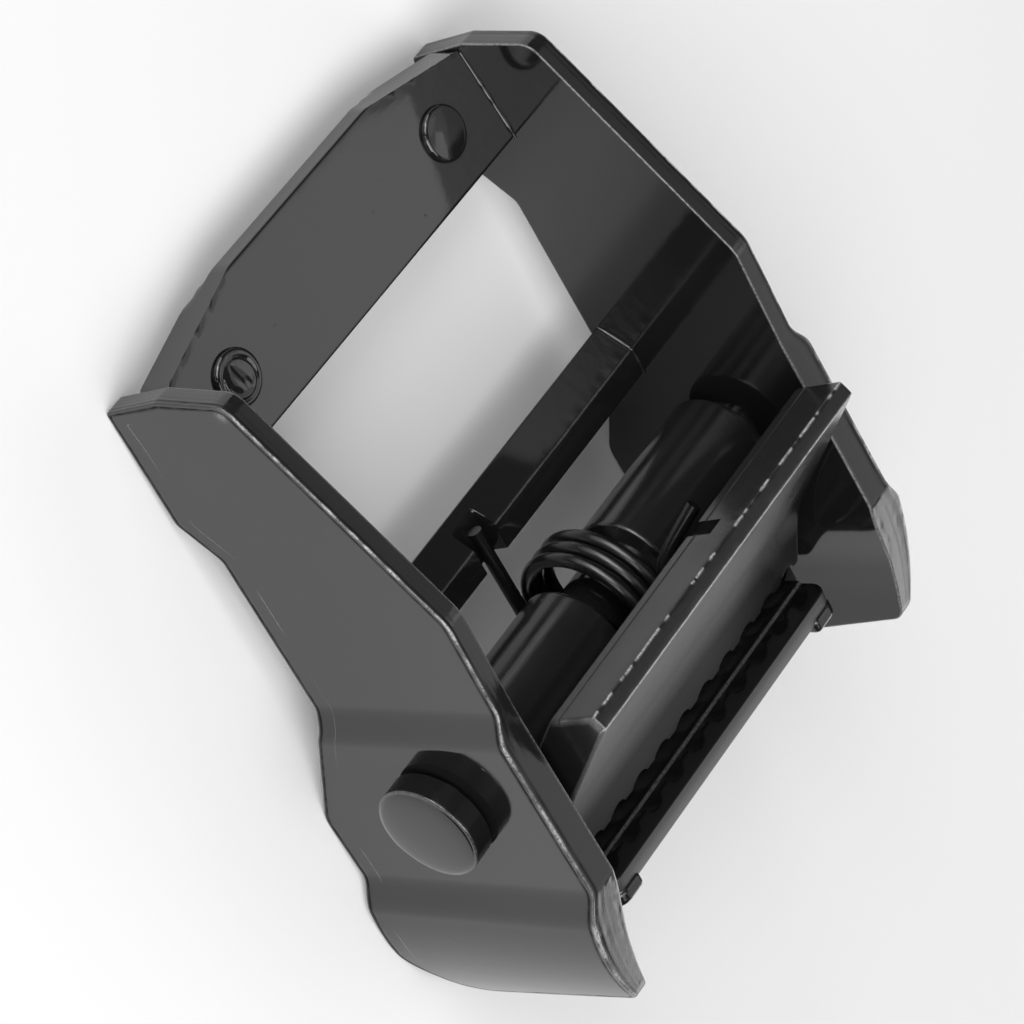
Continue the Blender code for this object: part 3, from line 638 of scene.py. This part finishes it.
def anvil_section():
    """Section as y, height and gap: rows with a gap keep that far below the outline's top."""
    quarter, r = np.linspace(0, math.pi / 2, 5), ANVIL_ROUND
    early, late = r * (1 - np.sin(quarter)), r * (1 - np.cos(quarter))
    nearly_top = ANVIL_TOP - r - 0.05
    parts = [
        # One run a line: foot, front, step, upper front, front edge, top, back edge, back, foot.
        (ANVIL_FRONT + early, ANVIL_UNDER + late, np.nan),
        (ANVIL_FRONT, np.linspace(ANVIL_UNDER + r, STEP_HEIGHT - 0.08, 18), np.nan),
        (np.array([ANVIL_FRONT + 0.04, STEP_FRONT - 0.04]), STEP_HEIGHT + np.array([-0.02, 0.03]), np.nan),
        (STEP_FRONT, np.linspace(STEP_HEIGHT + 0.08, nearly_top, 8), np.nan),
        (STEP_FRONT + late, 0 * quarter, early),
        (np.array([9.9]), 0.0, 0.0),
        (ANVIL_BACK - early, 0 * quarter, late),
        (ANVIL_BACK, np.linspace(nearly_top, ANVIL_UNDER + r, 24), np.nan),
        (ANVIL_BACK - late, ANVIL_UNDER + early, np.nan),
    ]
    return [np.concatenate(column) for column in zip(*(np.broadcast_arrays(*run) for run in parts))]


def anvil_grid():
    """The section at stations along the outline. Behind its front edge the upper half leans down by 0.19."""
    right = [(11.85, ANVIL_TOP, 1.0), (11.85, 0.0, 0.6), (13.6, -0.6, 0.5), (13.6, ANVIL_UNDER, 0)]
    left = [(-a, b, radius) for a, b, radius in right[::-1]]
    outline = evenly(fillet(left + right, 0.1, closed=False)[1:-1], 0.2, closed=False)
    x, top = outline[:, :1], outline[:, 1:]
    y, z, gap = anvil_section()
    follows = ~np.isnan(gap)
    height = np.where(follows, top - np.nan_to_num(gap), np.minimum(z, top - ANVIL_ROUND))
    behind = np.maximum(y - STEP_FRONT - ANVIL_ROUND, 0)
    height = height - ANVIL_LEAN * behind * np.maximum(height - 1.6, 0) / 1.6
    grid = np.stack(np.broadcast_arrays(x, y, height), axis=-1)
    ends = np.stack([[[side * 13.6, 9.8, -3.0]] * len(y) for side in (-1, 1)])
    grid = np.concatenate([ends[:1], grid, ends[1:]])
    edge = np.exp(-((grid[..., 2] - ANVIL_TOP) / 0.2) ** 2)
    # The top gets a greyer ground as a painted sheen and rougher gloss, and both the top and the step line
    # get painted highlight.
    on_top = follows & (y > STEP_FRONT + 0.1)
    step_line = (abs(z - STEP_HEIGHT) < 0.06) & (y < 9.5)
    return grid, True, edge * 0.5, (step_line * 0.22 + on_top * 0.25)[None], (on_top * 1.0)[None]


# %% Lugs of the bar
def lug(side):
    """Thick end of the bar beside a plate: a rounded block with a softly melted face."""
    low, high = sorted((side * 9.6, side * 11.82))
    inner, outer = (0.4, 0.9) if side > 0 else (0.9, 0.4)
    corners = [(low, -1.0, 0.4), (high, -1.0, 0.4), (high, 3.17, outer), (low, 3.17, inner)]
    loop = flats_kept(fillet(corners, 0.08), 0.25)
    y, inset = rounded_ends(10.1, 11.05, 0.3, 0.2, turns=6)
    return carried(loop, y, inset, "Y"), True, 0.6, 0.0


pieces["anvil"] = make_piece(
    "upright_anvil_bar", [anvil_grid(), lug(1), lug(-1)], ["anvil_bar"], "frame"
)

# %% [markdown]
# ## Pin
# The pin is turned from rod. Its flat head shows on the near side and its other end is riveted over. Stacked
# cylinders would need their corners rounded one by one. One profile from end to end is enough, with a
# rounded rim on the head where the light draws a thin arc, helped by a faint painted highlight. The head's
# side wall gets painted shade.

# %% One turned profile
PIN_NEAR, PIN_HEAD, SHAFT, HEAD_WALL = 16.25, 17.7, 2.0, 2.95


def pin_grid():
    """Profile (x, radius): riveted tail, shaft and head, whose face rises by 0.3 as a quarter ellipse."""
    rim = np.linspace(0, math.pi / 2, 6)
    dome = np.linspace(0, math.pi / 2, 14)
    near, head = PIN_NEAR, PIN_HEAD
    shaft = np.linspace(-near + 0.05, near - 0.05, 60)
    profile = np.concatenate([
        [(-near - 0.9, 0), (-near - 0.9, 1.0), (-near - 0.9, 1.8)],
        np.stack([-near - 0.55 - 0.35 * np.cos(rim), 2.0 + 0.5 * np.sin(rim)], axis=1),
        [(-near - 0.05, 2.5), (-near, 2.45), (-near, 2.05)],
        np.stack([shaft, SHAFT + 0 * shaft], axis=1),
        [(near, 2.05), (near, HEAD_WALL - 0.1)],
        [(x, HEAD_WALL) for x in (near + 0.05, near + 0.3, near + 0.8, head - 0.2)],
        np.stack([head - 0.12 + 0.12 * np.sin(rim), 2.83 + 0.12 * np.cos(rim)], axis=1),
        np.stack([head + 0.3 * np.sin(dome), 2.8 * np.cos(dome)], axis=1)[1:],
    ])
    # Painted shade on the head's side wall, by a lowered shine, and a faint painted highlight on its rim.
    wall = (profile[:, 0] > near) & (profile[:, 0] < head - 0.13)
    arc = (profile[:, 0] > head - 0.1) & (profile[:, 1] > 2.8) & (profile[:, 0] < head + 0.01)
    return revolved(profile, 128), True, 0.0, (arc * 0.1 - wall * 0.8)[:, None]


pieces["pin"] = make_piece("headed_pin", [pin_grid()], ["pivot_pin"], "frame", 45)

# %% [markdown]
# ## Cam lever
# The lever is one casting: a barrel round the pin, a thumb blade above it and a toothed edge in front. It
# could be cut from blocks with booleans, whose edges are hard to soften. But all of it has the same section
# from end to end, so again a loop is carried across the buckle. Three things change along the way. The teeth
# are round cuts in the front face, the middle is hollowed out for the spring, and a small notch in the
# blade's foot holds the spring's leg. The top face, which the strap and fingers rub, is rougher, and it gets
# a greyer ground as a painted sheen.

# %% Section of the casting
# Corners are Y, Z and radius, seen from the near side.
BLADE_TOP, BLADE_RIDGE, BLADE_FOOT = (-3.31, 10.9, 0.12), (-4.14, 10.52, 0.15), (-3.73, 7.35, 0.35)
TOP_KNEE, TOOTH_EDGE = (4.73, 2.86, 14.0), (8.6, 0.85, 0.12)
TOOTH_HEEL, CAM_BELLY = (7.4, -2.6, 0.5), (6.3, -3.3, 0.8)
TOOTH_PITCH, TOOTH_RADIUS, TOOTH_SHALLOW = 2.33, 0.85, 0.25
BARREL, LEVER_HALF, ROOM, ROOM_HALF = 3.11, 12.95, 4.7, 2.6
BARREL_START, BARREL_END = math.radians(79.6), math.radians(-72.0)
POLE = (2.0, 2.5)


def lever_section():
    """Closed loop (y, z): blade, top face, toothed edge and belly as a rounded line, then the barrel."""
    start, end = BARREL_START, BARREL_END
    first = (BARREL * math.cos(start), BARREL * math.sin(start), 0)
    last = (BARREL * math.cos(end), BARREL * math.sin(end), 0)
    line = [(-3.80, 7.93, 0), (-3.77, 7.99, 0), (-3.82, 8.05, 0)]
    front = fillet([first, BLADE_FOOT, *line, BLADE_RIDGE, BLADE_TOP, TOP_KNEE, TOOTH_EDGE, TOOTH_HEEL,
                    CAM_BELLY, last], 0.04, closed=False)
    arc = np.linspace(end, start - 2 * math.pi, 60)[1:-1]
    return flats_kept(np.concatenate([front, BARREL * np.stack([np.cos(arc), np.sin(arc)], axis=1)]), 0.3)


def hollowed(section):
    """The loop where the spring's room is cut: what lies within its radius is set onto the room's wall."""
    reach = np.hypot(*section.T)
    inside = reach < ROOM
    outer_first = np.flatnonzero(inside & ~np.roll(inside, 1))[-1]
    order = (outer_first + np.arange(inside.sum())) % len(section)
    angle = np.arctan2(section[order, 1], section[order, 0])
    t = np.linspace(angle[0], angle[-1], len(order))
    out = section.copy()
    out[order] = ROOM * np.stack([np.cos(t), np.sin(t)], axis=1)
    return out


# %% Stations, teeth, spring room and notch
def lever_stations():
    """X stations: close together round each tooth cut, at the walls of the spring room and at both ends."""
    centres = (np.arange(11) - 5) * TOOTH_PITCH
    arc = TOOTH_RADIUS * np.sin(np.radians(np.linspace(-72.8, 72.8, 13)))
    teeth = (centres[:, None] + np.concatenate([arc, [-1.0, 1.0]])[None]).ravel()
    walls = ROOM_HALF + np.array([0.3, 0.18, 0.09, 0.03, 0.0])
    walls = np.concatenate([-walls, walls])
    notch = np.array([-2.25, -2.16, -2.14, -2.05, -1.1, -1.01, -0.99, -0.9])
    ends = np.array([12.4, 12.6, 12.75, 12.84, 12.9, 12.935, 12.95])
    x = np.unique(np.round(np.concatenate([teeth, walls, notch, ends, -ends]), 4))
    return x[abs(x) <= LEVER_HALF]


def with_room(section, x):
    """Carries the section across X. Between the room's walls it is the hollowed one, each wall is two equal
    stations, and the room's rim is softened by a lip that draws points in towards the pin's axis."""
    inset = np.interp(LEVER_HALF - abs(x), [0, 0.015, 0.05, 0.11, 0.2], [0.14, 0.085, 0.035, 0.01, 0])
    grid = carried(section, x, inset, "X", pole=POLE)
    lip = np.interp(abs(grid[..., 0]), [2.6, 2.63, 2.69, 2.78, 2.9], [0.12, 0.07, 0.03, 0.006, 0])
    reach = np.hypot(grid[..., 1], grid[..., 2])
    lip = lip * smoothstep(-reach, -ROOM - 0.6, -ROOM)
    grid[..., 1:] *= (1 - lip / np.maximum(reach, 0.1))[..., None]
    hollow = carried(hollowed(section), x, 0 * x, "X", pole=POLE)
    middle = abs(grid[..., 0]) < ROOM_HALF - 1e-6
    grid[..., 1:] = np.where(middle[..., None], hollow[..., 1:], grid[..., 1:])
    row = int(np.argmax(middle[:, 0]))
    last = len(middle) - int(np.argmax(middle[::-1, 0]))
    near_wall, far_wall = hollow[last - 1: last].copy(), hollow[row: row + 1].copy()
    near_wall[..., 0], far_wall[..., 0] = ROOM_HALF, -ROOM_HALF
    return np.concatenate([grid[:row], far_wall, grid[row:last], near_wall, grid[last:]])


def toothed(across, y, z):
    """Sets points back along the front face's normal by sqrt(0.85^2 - dx^2) - 0.25 round each tooth cut."""
    edge, heel = np.array(TOOTH_EDGE[:2]), np.array(TOOTH_HEEL[:2])
    along = (edge - heel) / np.hypot(*(edge - heel))
    out = np.array([along[1], -along[0]])
    dx = across - np.round(np.clip(across / TOOTH_PITCH, -5, 5)) * TOOTH_PITCH
    depth = np.sqrt(np.maximum(TOOTH_RADIUS ** 2 - dx ** 2, TOOTH_SHALLOW ** 2)) - TOOTH_SHALLOW
    beyond = (y - edge[0]) * out[0] + (z - edge[1]) * out[1] + depth
    push = np.maximum(beyond, 0) * (depth > 1e-6)
    return y - push * out[0], z - push * out[1]


def notched(across, y, z):
    """Sets the blade's foot back onto a slanted wall between X -2.15 and -1, where the spring's leg lies."""
    in_notch = smoothstep(across, -2.16, -2.14) * (1 - smoothstep(across, -1.01, -0.99))
    foot_y, foot_z = BLADE_FOOT[:2]
    wall = foot_y + 1.0 - 0.12 * (z - foot_z + 2.0)
    low = (z < foot_z + 1.5) & (z > foot_z - 2.0) & (y < wall)
    return np.where(low, y + in_notch * (wall - y), y)


# %% Worn ridge and dulled faces of the lever
def lever_grid():
    """The finished casting: small chips lower its ridge and crown. Dashes of painted highlight lie on the
    ridge with painted shade between them, a thin painted highlight on the crown and painted highlights on the
    end rims, and a dark scored line crosses the thumb face."""
    grid = with_room(lever_section(), lever_stations())
    across = grid[..., 0]
    y, z = toothed(across, grid[..., 1], grid[..., 2])
    y = notched(across, y, z)

    ridge = np.exp(-(((y - BLADE_RIDGE[0]) / 0.2) ** 2 + ((z - BLADE_RIDGE[1]) / 0.25) ** 2))
    crown = np.exp(-(((y - BLADE_TOP[0]) / 0.22) ** 2 + ((z - BLADE_TOP[1]) / 0.22) ** 2))
    chips = wander(across, 0.6, 61) * 0.03 + wander(across, 0.2, 62) * 0.02
    z = z - (ridge + crown) * chips * 0.8
    y = y + ridge * wander(across, 0.45, 63) * 0.03
    grid = np.stack([across, y, z], axis=-1)

    rim = np.ones((len(grid), 1))
    rim[[0, 1, -2, -1]] = 0
    beyond_barrel = np.hypot(y, z) > BARREL + 0.19
    ends = rim * np.exp(-((abs(across) - 12.92) / 0.05) ** 2) * smoothstep(z, 0.0, 1.0) * beyond_barrel
    highlight_dashes = smoothstep(wander(across, 0.55, 65) * wander(across, 0.22, 66), 0.1, 0.24)
    thin = np.exp(-((y - BLADE_TOP[0] - 0.03) / 0.05) ** 2) * (z > BLADE_TOP[1] - 0.3)
    scored = np.exp(-((z - 7.99) / 0.03) ** 2) * (y < -3.5) * smoothstep(across, -1.0, -0.6)
    painted_highlight_shade_and_wear = ridge ** 9 * (1.3 * highlight_dashes - 0.6 * (1 - highlight_dashes)) + thin * 1.4 - scored * 0.9
    painted_highlight_shade_and_wear = painted_highlight_shade_and_wear + ends * 0.35 * wander(y + z, 0.5, 67)
    # The top face and the near half of the thumb face get a greyer ground as a painted sheen and rougher
    # gloss; it is weaker towards the blade and fades out towards the far end, as painted shade.
    top_face = rim * smoothstep(y, -3.25, -3.1) * (z > 0.9) * (y + z > 6.5)
    top_face = top_face * (0.5 + 0.5 * smoothstep(y, -2.5, 3.0)) * smoothstep(across, -12.9, -3.0)
    thumb_side = rim * (y < -3.6) * (z > 7.4) * (z < 10.4) * smoothstep(across, -2.0, 0.0)
    satin_and_painted_sheen = top_face + 0.3 * thumb_side
    return grid, True, np.clip(ridge + crown + ends, 0, 1), np.clip(painted_highlight_shade_and_wear, -1, 1.5), satin_and_painted_sheen


pieces["lever"] = make_piece(
    "cast_cam_lever", [lever_grid()], ["cam_lever"], "cam", 40
)

# %% [markdown]
# ## Torsion spring
# Wire of 0.8 mm makes three and a half turns round the pin. One leg lies under the crossbar's notch and the
# other rises behind the blade and pushes it, so that leg is a piece of its own and moves with the lever. A
# curve with a round bevel would do, and be made a mesh later. A tube as a grid is a mesh from the start and
# needs only a centre line and a circle: two directions square to the path are found at each point, and the
# circle is drawn in them.

# %% Centre line and tube
WIRE = 0.4


def spring_paths():
    """The still part, a leg along -Y and a helix of radius 3.95 and pitch 0.9, and the carried leg.

    The carried leg bends softly up to the blade. It starts 50 degrees back inside the helix, a little
    thinner, so that no gap opens when the lever is raised by 40 degrees.
    """
    radius, pitch, turns, near = 3.95, 0.9, 3.5, 1.8
    leg = np.stack([np.full(24, near), np.linspace(-6.5, -0.15, 24), np.full(24, -radius)], axis=1)
    t = np.linspace(0, turns, 330)
    at = -math.pi / 2 + 2 * math.pi * t
    coil = np.stack([near - pitch * t, radius * np.cos(at), radius * np.sin(at)], axis=1)
    start, tip = coil[-1], np.array([-3.63, -3.6, 6.1])
    bend = np.array([start[0], -1.4, start[2]])
    s = np.linspace(0, 1, 24)[:, None]
    first = start + (bend - start) * (0.45 + 0.55 * s)
    second = bend + (tip - bend) * 0.45 * s
    rise = first + (second - first) * s
    run = start + (rise[0] - start) * np.linspace(0, 1, 6)[1:-1, None]
    up = rise[-1] + (tip - rise[-1]) * np.linspace(0, 1, 14)[1:, None]
    back = coil[t > turns - 50 / 360]
    return np.concatenate([leg, coil]), np.concatenate([back, run, rise, up]), lengths(back)[-1]


def tube(path, radius, count=18):
    """Circle of count points round each path point, drawn in two directions square to the path and capped."""
    tangent = np.gradient(path, axis=0)
    tangent /= np.linalg.norm(tangent, axis=1, keepdims=True)
    side = np.cross(tangent, [1.0, 0.25, 0.1])
    side /= np.linalg.norm(side, axis=1, keepdims=True)
    up = np.cross(tangent, side)
    turn = np.linspace(0, 2 * math.pi, count + 1)[:-1]
    ring = side[:, None] * np.cos(turn)[None, :, None] + up[:, None] * np.sin(turn)[None, :, None]
    ring = ring * np.broadcast_to(radius, len(path))[:, None, None]
    ends = path[[0, -1]][:, None]
    near_rim = ends + 0.8 * ring[[0, -1]]
    middle = np.broadcast_to(ends, near_rim.shape)
    return np.concatenate([middle[:1], near_rim[:1], path[:, None] + ring, near_rim[1:], middle[1:]])


still, carried_leg, hidden = spring_paths()
still, carried_leg = evenly(still, 0.16, closed=False), evenly(carried_leg, 0.16, closed=False)
leg_radius = np.where(lengths(carried_leg) < hidden, WIRE - 0.03, WIRE)
pieces["spring"] = make_piece(
    "torsion_spring_coil", [(tube(still, WIRE), True)], ["torsion_spring"], "frame",
    60,
)
pieces["spring_leg"] = make_piece(
    "torsion_spring_leg", [(tube(carried_leg, leg_radius), True)], ["torsion_spring"], "cam",
    60,
)

# %% [markdown]
# ## Coating
# All parts wear the same kind of finish, but what lies under it differs: rolled sheet is smooth, a casting is
# slightly grainy, and wire is drawn. The finish itself is a thin gloss black enamel, baked on. A clear coat
# over a black metal would be one way to draw it. But no metal shows through, and the enamel is one dielectric
# skin, so it is plain gloss over a nearly black ground. To the eye that gives deep black where it mirrors
# nothing, broad soft greys where it mirrors the studio, and a slight waviness in every reflection.

# %% Colour and node helpers
def linear(hex_colour):
    """sRGB hex to linear RGBA: c / 12.92 below 0.04045, otherwise ((c + 0.055) / 1.055) ^ 2.4."""
    channels = np.array([int(hex_colour[i: i + 2], 16) for i in (1, 3, 5)]) / 255
    flat = np.where(channels <= 0.04045, channels / 12.92, ((channels + 0.055) / 1.055) ** 2.4)
    return (*flat.tolist(), 1.0)


def add(tree, kind, settings=None, **links):
    """Adds a node, sets its properties and connects or sets its inputs by name, with _ for a space."""
    node = tree.nodes.new("ShaderNode" + kind)
    for key, value in (settings or {}).items():
        setattr(node, key, value)
    for key, value in links.items():
        key = int(key[1:]) if key[0] == "i" and key[1:].isdigit() else key.replace("_", " ")
        if isinstance(value, bpy.types.NodeSocket):
            tree.links.new(value, node.inputs[key])
        else:
            node.inputs[key].default_value = value
    return node


print("mid grey in linear light:", round(linear("#808080")[0], 4))

# %% Patterns in the coating
# The coat flows in soft shades some 3 mm wide, its orange peel repeats every 0.9 mm, and dust nibs 0.2 mm
# wide lie about 1.7 mm apart. Grit is the roughness of the metal under the coat: some hundredths of a
# millimetre on the real piece, too fine for the render, so it is drawn coarser, at 0.12 mm. Scuffs are
# hairlines 0.5 mm apart and 4 mm long.
FLOW_MM, PEEL_MM, NIB_MM, GRIT_MM, SCUFF_MM = 3.2, 0.9, 1.7, 0.12, 0.5


def coating_patterns(tree):
    """Noises on Object coordinates, each with 1 / size as its scale, and nibs and scuffs as masks."""
    where = add(tree, "TexCoord").outputs["Object"]
    flow = add(tree, "TexNoise", Vector=where, Scale=1 / (FLOW_MM * MM), Detail=3.0, Roughness=0.5)
    peel = add(tree, "TexNoise", Vector=where, Scale=1 / (PEEL_MM * MM), Detail=2.0, Roughness=0.45)
    grit = add(tree, "TexNoise", Vector=where, Scale=1 / (GRIT_MM * MM), Detail=4.0, Roughness=0.62)
    cells = add(tree, "TexVoronoi", {"feature": "F1"}, Vector=where, Scale=1 / (NIB_MM * MM), Randomness=1.0)
    nibs = add(tree, "MapRange", {"interpolation_type": "SMOOTHSTEP"}, Value=cells.outputs["Distance"],
               From_Min=0.03, From_Max=0.09, To_Min=1.0, To_Max=0.0)
    drawn_out = add(tree, "Mapping", Vector=where, Rotation=(0.3, 0.9, 0.5), Scale=(0.12, 1.0, 1.6))
    hair = add(tree, "TexNoise", Vector=drawn_out.outputs["Vector"], Scale=1 / (SCUFF_MM * MM),
               Detail=3.0, Roughness=0.7)
    scuffs = add(tree, "MapRange", Value=hair.outputs["Fac"],
                 From_Min=0.74, From_Max=0.78, To_Min=0.0, To_Max=1.0)
    return (*(noise.outputs["Fac"] for noise in (flow, peel, grit)),
            *(mask.outputs["Result"] for mask in (nibs, scuffs)))


# %% Baked gloss enamel over steel sheet, casting and wire
# The light grey stands for wear and for painted highlights, the mid grey for a painted sheen on dulled faces.
SCUFFED, WEAR_AND_HIGHLIGHT_GREY, DULLED_SHEEN_GREY = "#2a2a2b", "#b0b0b0", "#3a3a3b"
ENAMEL_IOR = 1.65


def gloss_enamel(name, ground, roughness, peel_height, grain_height, scuff_roughness):
    """Baked black enamel. Heights are in mm: of its orange peel, and of the grain of the metal under it."""
    material = bpy.data.materials.new(name)
    material.use_nodes = True
    tree = material.node_tree
    tree.nodes.clear()
    flow, peel, grit, nibs, scuffs = coating_patterns(tree)
    edge, painted_highlight_shade_and_wear, satin_and_painted_sheen = (
        add(tree, "Attribute", {"attribute_name": mark}).outputs["Fac"] for mark in ("edge", "painted_highlight_shade_and_wear", "satin_and_painted_sheen")
    )

    # Colour: scuffs are a little lighter; the light marks, a scratch or a painted highlight, are light in
    # patches; and the dulled faces are greyer, a painted sheen.
    patchy = add(tree, "MapRange", Value=grit, From_Min=0.38, From_Max=0.55, To_Min=0.25, To_Max=1.0)
    wear_and_highlight = add(tree, "Math", {"operation": "MULTIPLY", "use_clamp": True}, i0=painted_highlight_shade_and_wear,
               i1=patchy.outputs["Result"])
    colour = linear(ground)
    for share, shade in ((scuffs, SCUFFED), (wear_and_highlight.outputs["Value"], WEAR_AND_HIGHLIGHT_GREY), (satin_and_painted_sheen, DULLED_SHEEN_GREY)):
        colour = add(tree, "Mix", {"data_type": "RGBA"}, Factor=share, i6=colour, i7=linear(shade))
        colour = colour.outputs["Result"]

    # Gloss: it varies softly, and scuffs, edges and dulled faces are rougher. Where the marks are dark, the
    # shine drops as painted shade, so it mirrors hardly anything.
    rough = add(tree, "MapRange", Value=flow, From_Min=0.3, From_Max=0.7,
                To_Min=roughness * 0.85, To_Max=roughness * 1.2).outputs["Result"]
    for share, more in ((scuffs, scuff_roughness), (edge, 0.1), (satin_and_painted_sheen, 0.35)):
        rough = add(tree, "Math", {"operation": "MULTIPLY_ADD"}, i0=share, i1=more, i2=rough)
        rough = rough.outputs["Value"]
    shine = add(tree, "MapRange", Value=painted_highlight_shade_and_wear, From_Min=-0.8, From_Max=0.0, To_Min=0.04, To_Max=0.5)

    # Relief: orange peel, then grain that is coarser on the edges, with nibs on it.
    bump = add(tree, "Bump", Strength=1.0, Distance=peel_height * MM, Height=peel)
    coarser = add(tree, "Math", {"operation": "MULTIPLY_ADD"}, i0=edge, i1=2.5, i2=0.35)
    height = add(tree, "Math", {"operation": "MULTIPLY"}, i0=grit, i1=coarser.outputs["Value"])
    height = add(tree, "Math", {"operation": "MULTIPLY_ADD"}, i0=nibs, i1=1.6, i2=height.outputs["Value"])
    bump = add(tree, "Bump", Strength=1.0, Distance=grain_height * MM, Height=height.outputs["Value"],
               Normal=bump.outputs["Normal"])
    enamel = add(tree, "BsdfPrincipled", Base_Color=colour, Roughness=rough, Metallic=0.0, IOR=ENAMEL_IOR,
                 Specular_IOR_Level=shine.outputs["Result"], Normal=bump.outputs["Normal"])
    add(tree, "OutputMaterial", Surface=enamel.outputs["BSDF"])
    return material


# Sheet is smooth under the coat, so it mirrors sharply. The casting's grain blurs what it mirrors. The drawn
# wire has a thin, slightly matt coat, so it looks darker and its highlights are soft.
finishes = {
    "sheet": gloss_enamel("baked_enamel_on_sheet", "#191919", 0.07, 0.003, 0.003, 0.12),
    "casting": gloss_enamel("baked_enamel_on_casting", "#191919", 0.19, 0.004, 0.005, 0.15),
    "wire": gloss_enamel("baked_enamel_on_wire", "#0e0e0e", 0.26, 0.002, 0.003, 0.1),
}
for key, piece in pieces.items():
    which = {"lever": "casting", "spring": "wire", "spring_leg": "wire"}.get(key, "sheet")
    piece.data.materials.clear()
    piece.data.materials.append(finishes[which])
print("finishes:", {key: len(finish.node_tree.nodes) for key, finish in finishes.items()}, "nodes each")

# %% [markdown]
# ## Table and light
# A glossy black thing shows little of its own colour. What the eye sees is the studio mirrored in it, so big
# soft panels matter more than bright ones. An image of a studio as the world would do, but panels can be
# moved and weighed one by one. The table is plain, pale, matt paper.

# %% Floor
floor_mesh = bpy.data.meshes.new("table_top")
floor_mesh.from_pydata([(-3, -3, 0), (3, -3, 0), (3, 3, 0), (-3, 3, 0)], [], [(0, 1, 2, 3)])
floor = bpy.data.objects.new("table_top", floor_mesh)
bpy.context.scene.collection.objects.link(floor)
paper = bpy.data.materials.new("matt_white_paper")
paper.use_nodes = True
paper.node_tree.nodes.clear()
fibres = add(paper.node_tree, "BsdfPrincipled", Base_Color=linear("#f4f4f4"), Roughness=0.9)
add(paper.node_tree, "OutputMaterial", Surface=fibres.outputs["BSDF"])
floor_mesh.materials.append(paper)
print("table top:", len(floor_mesh.vertices), "corners, 6 m square")

# %% Panels
# Each has a name, azimuth and elevation in degrees, distance, width and height in metres, and watts.
PANELS = [
    ("right", 90, 45, 0.55, 0.36, 0.36, 1.55),
    ("front_right", 22, 28, 0.55, 0.30, 0.30, 1.20),
    ("front_low", 0, 14, 0.55, 0.40, 0.22, 0.90),
    ("overhead", 120, 70, 0.55, 0.36, 0.36, 0.85),
    ("back_low", 208, 11, 0.55, 0.40, 0.20, 0.60),
    ("camera_side", 67, 28, 0.55, 0.30, 0.30, 0.44),
    ("back_left", 225, 45, 0.55, 0.36, 0.36, 0.25),
    ("left_high", 287, 56, 0.55, 0.25, 0.25, 0.05),
    ("front_high", 0, 45, 0.55, 0.36, 0.36, 0.18),
    ("left_back_high", 258, 56, 0.55, 0.25, 0.25, 0.10),
]


def toward(azimuth, elevation):
    """Direction from the buckle: azimuth 0 lies at -Y and 90 at +X, elevation is above the table."""
    a, e = math.radians(azimuth), math.radians(elevation)
    return np.array([math.sin(a) * math.cos(e), -math.cos(a) * math.cos(e), math.sin(e)])


def panel(name, azimuth, elevation, distance, width, height, watts):
    """Rectangular area lamp that faces the buckle's middle, 8 mm above the table."""
    lamp = bpy.data.lights.new(name, "AREA")
    lamp.shape, lamp.size, lamp.size_y, lamp.energy = "RECTANGLE", width, height, watts
    holder = bpy.data.objects.new(name, lamp)
    bpy.context.scene.collection.objects.link(holder)
    back = toward(azimuth, elevation)
    right = np.cross([0, 0, 1.0], back)
    right = right / np.linalg.norm(right)
    up = np.cross(back, right)
    turn = Matrix([(*row,) for row in np.stack([right, up, back], axis=1)]).to_4x4()
    turn.translation = back * distance + np.array([0, 0, 0.008])
    holder.matrix_world = turn
    return holder


lamps = [panel(*entry) for entry in PANELS]
world = bpy.data.worlds.new("studio_air")
bpy.context.scene.world = world
world.use_nodes = True
world.node_tree.nodes["Background"].inputs["Color"].default_value = linear("#ffffff")
world.node_tree.nodes["Background"].inputs["Strength"].default_value = 0.04
bpy.context.scene.view_settings.view_transform = "Standard"
print("lamps:", len(lamps), "with", round(sum(lamp.data.energy for lamp in lamps), 2), "watts in all")

# %% [markdown]
# ## Camera
# A camera can be set by eye, but here the picture itself tells where it stood. The three straight directions
# of the buckle meet in three points of the photograph, which fix the lens and the camera's turn, and the
# buckle's size in the picture then gives the distance.

# %% Camera turn, distance and lens
# The rows of VIEW are the picture's right, its up and the way back to the camera. The nearest true turn
# replaces its rounded numbers. FOCAL is in pixels of a picture 1024 wide.
FOCAL = 4737.0
VIEW = np.array([[-0.511, 0.445, 0.735], [-0.659, -0.753, -0.002], [0.552, -0.485, 0.678]])
u, _, v = np.linalg.svd(VIEW)
VIEW = u @ v
BUCKLE_FROM_CAMERA = np.array([4.74, -4.72, -250.37])
camera_data = bpy.data.cameras.new("product_camera")
camera_data.sensor_width = 36.0
camera_data.lens = FOCAL / 1024 * camera_data.sensor_width
camera_data.clip_start, camera_data.clip_end = 0.01, 20
camera = bpy.data.objects.new("product_camera", camera_data)
bpy.context.scene.collection.objects.link(camera)
stand = Matrix([(*row,) for row in VIEW.T]).to_4x4()
stand.translation = -VIEW.T @ BUCKLE_FROM_CAMERA * MM
tilted = Matrix.Rotation(TILT, 4, "X")
tilted.translation = PIN_AT * MM
camera.matrix_world = tilted @ stand
bpy.context.scene.camera = camera
print("camera at mm:", [round(v * 1000, 1) for v in camera.matrix_world.translation])
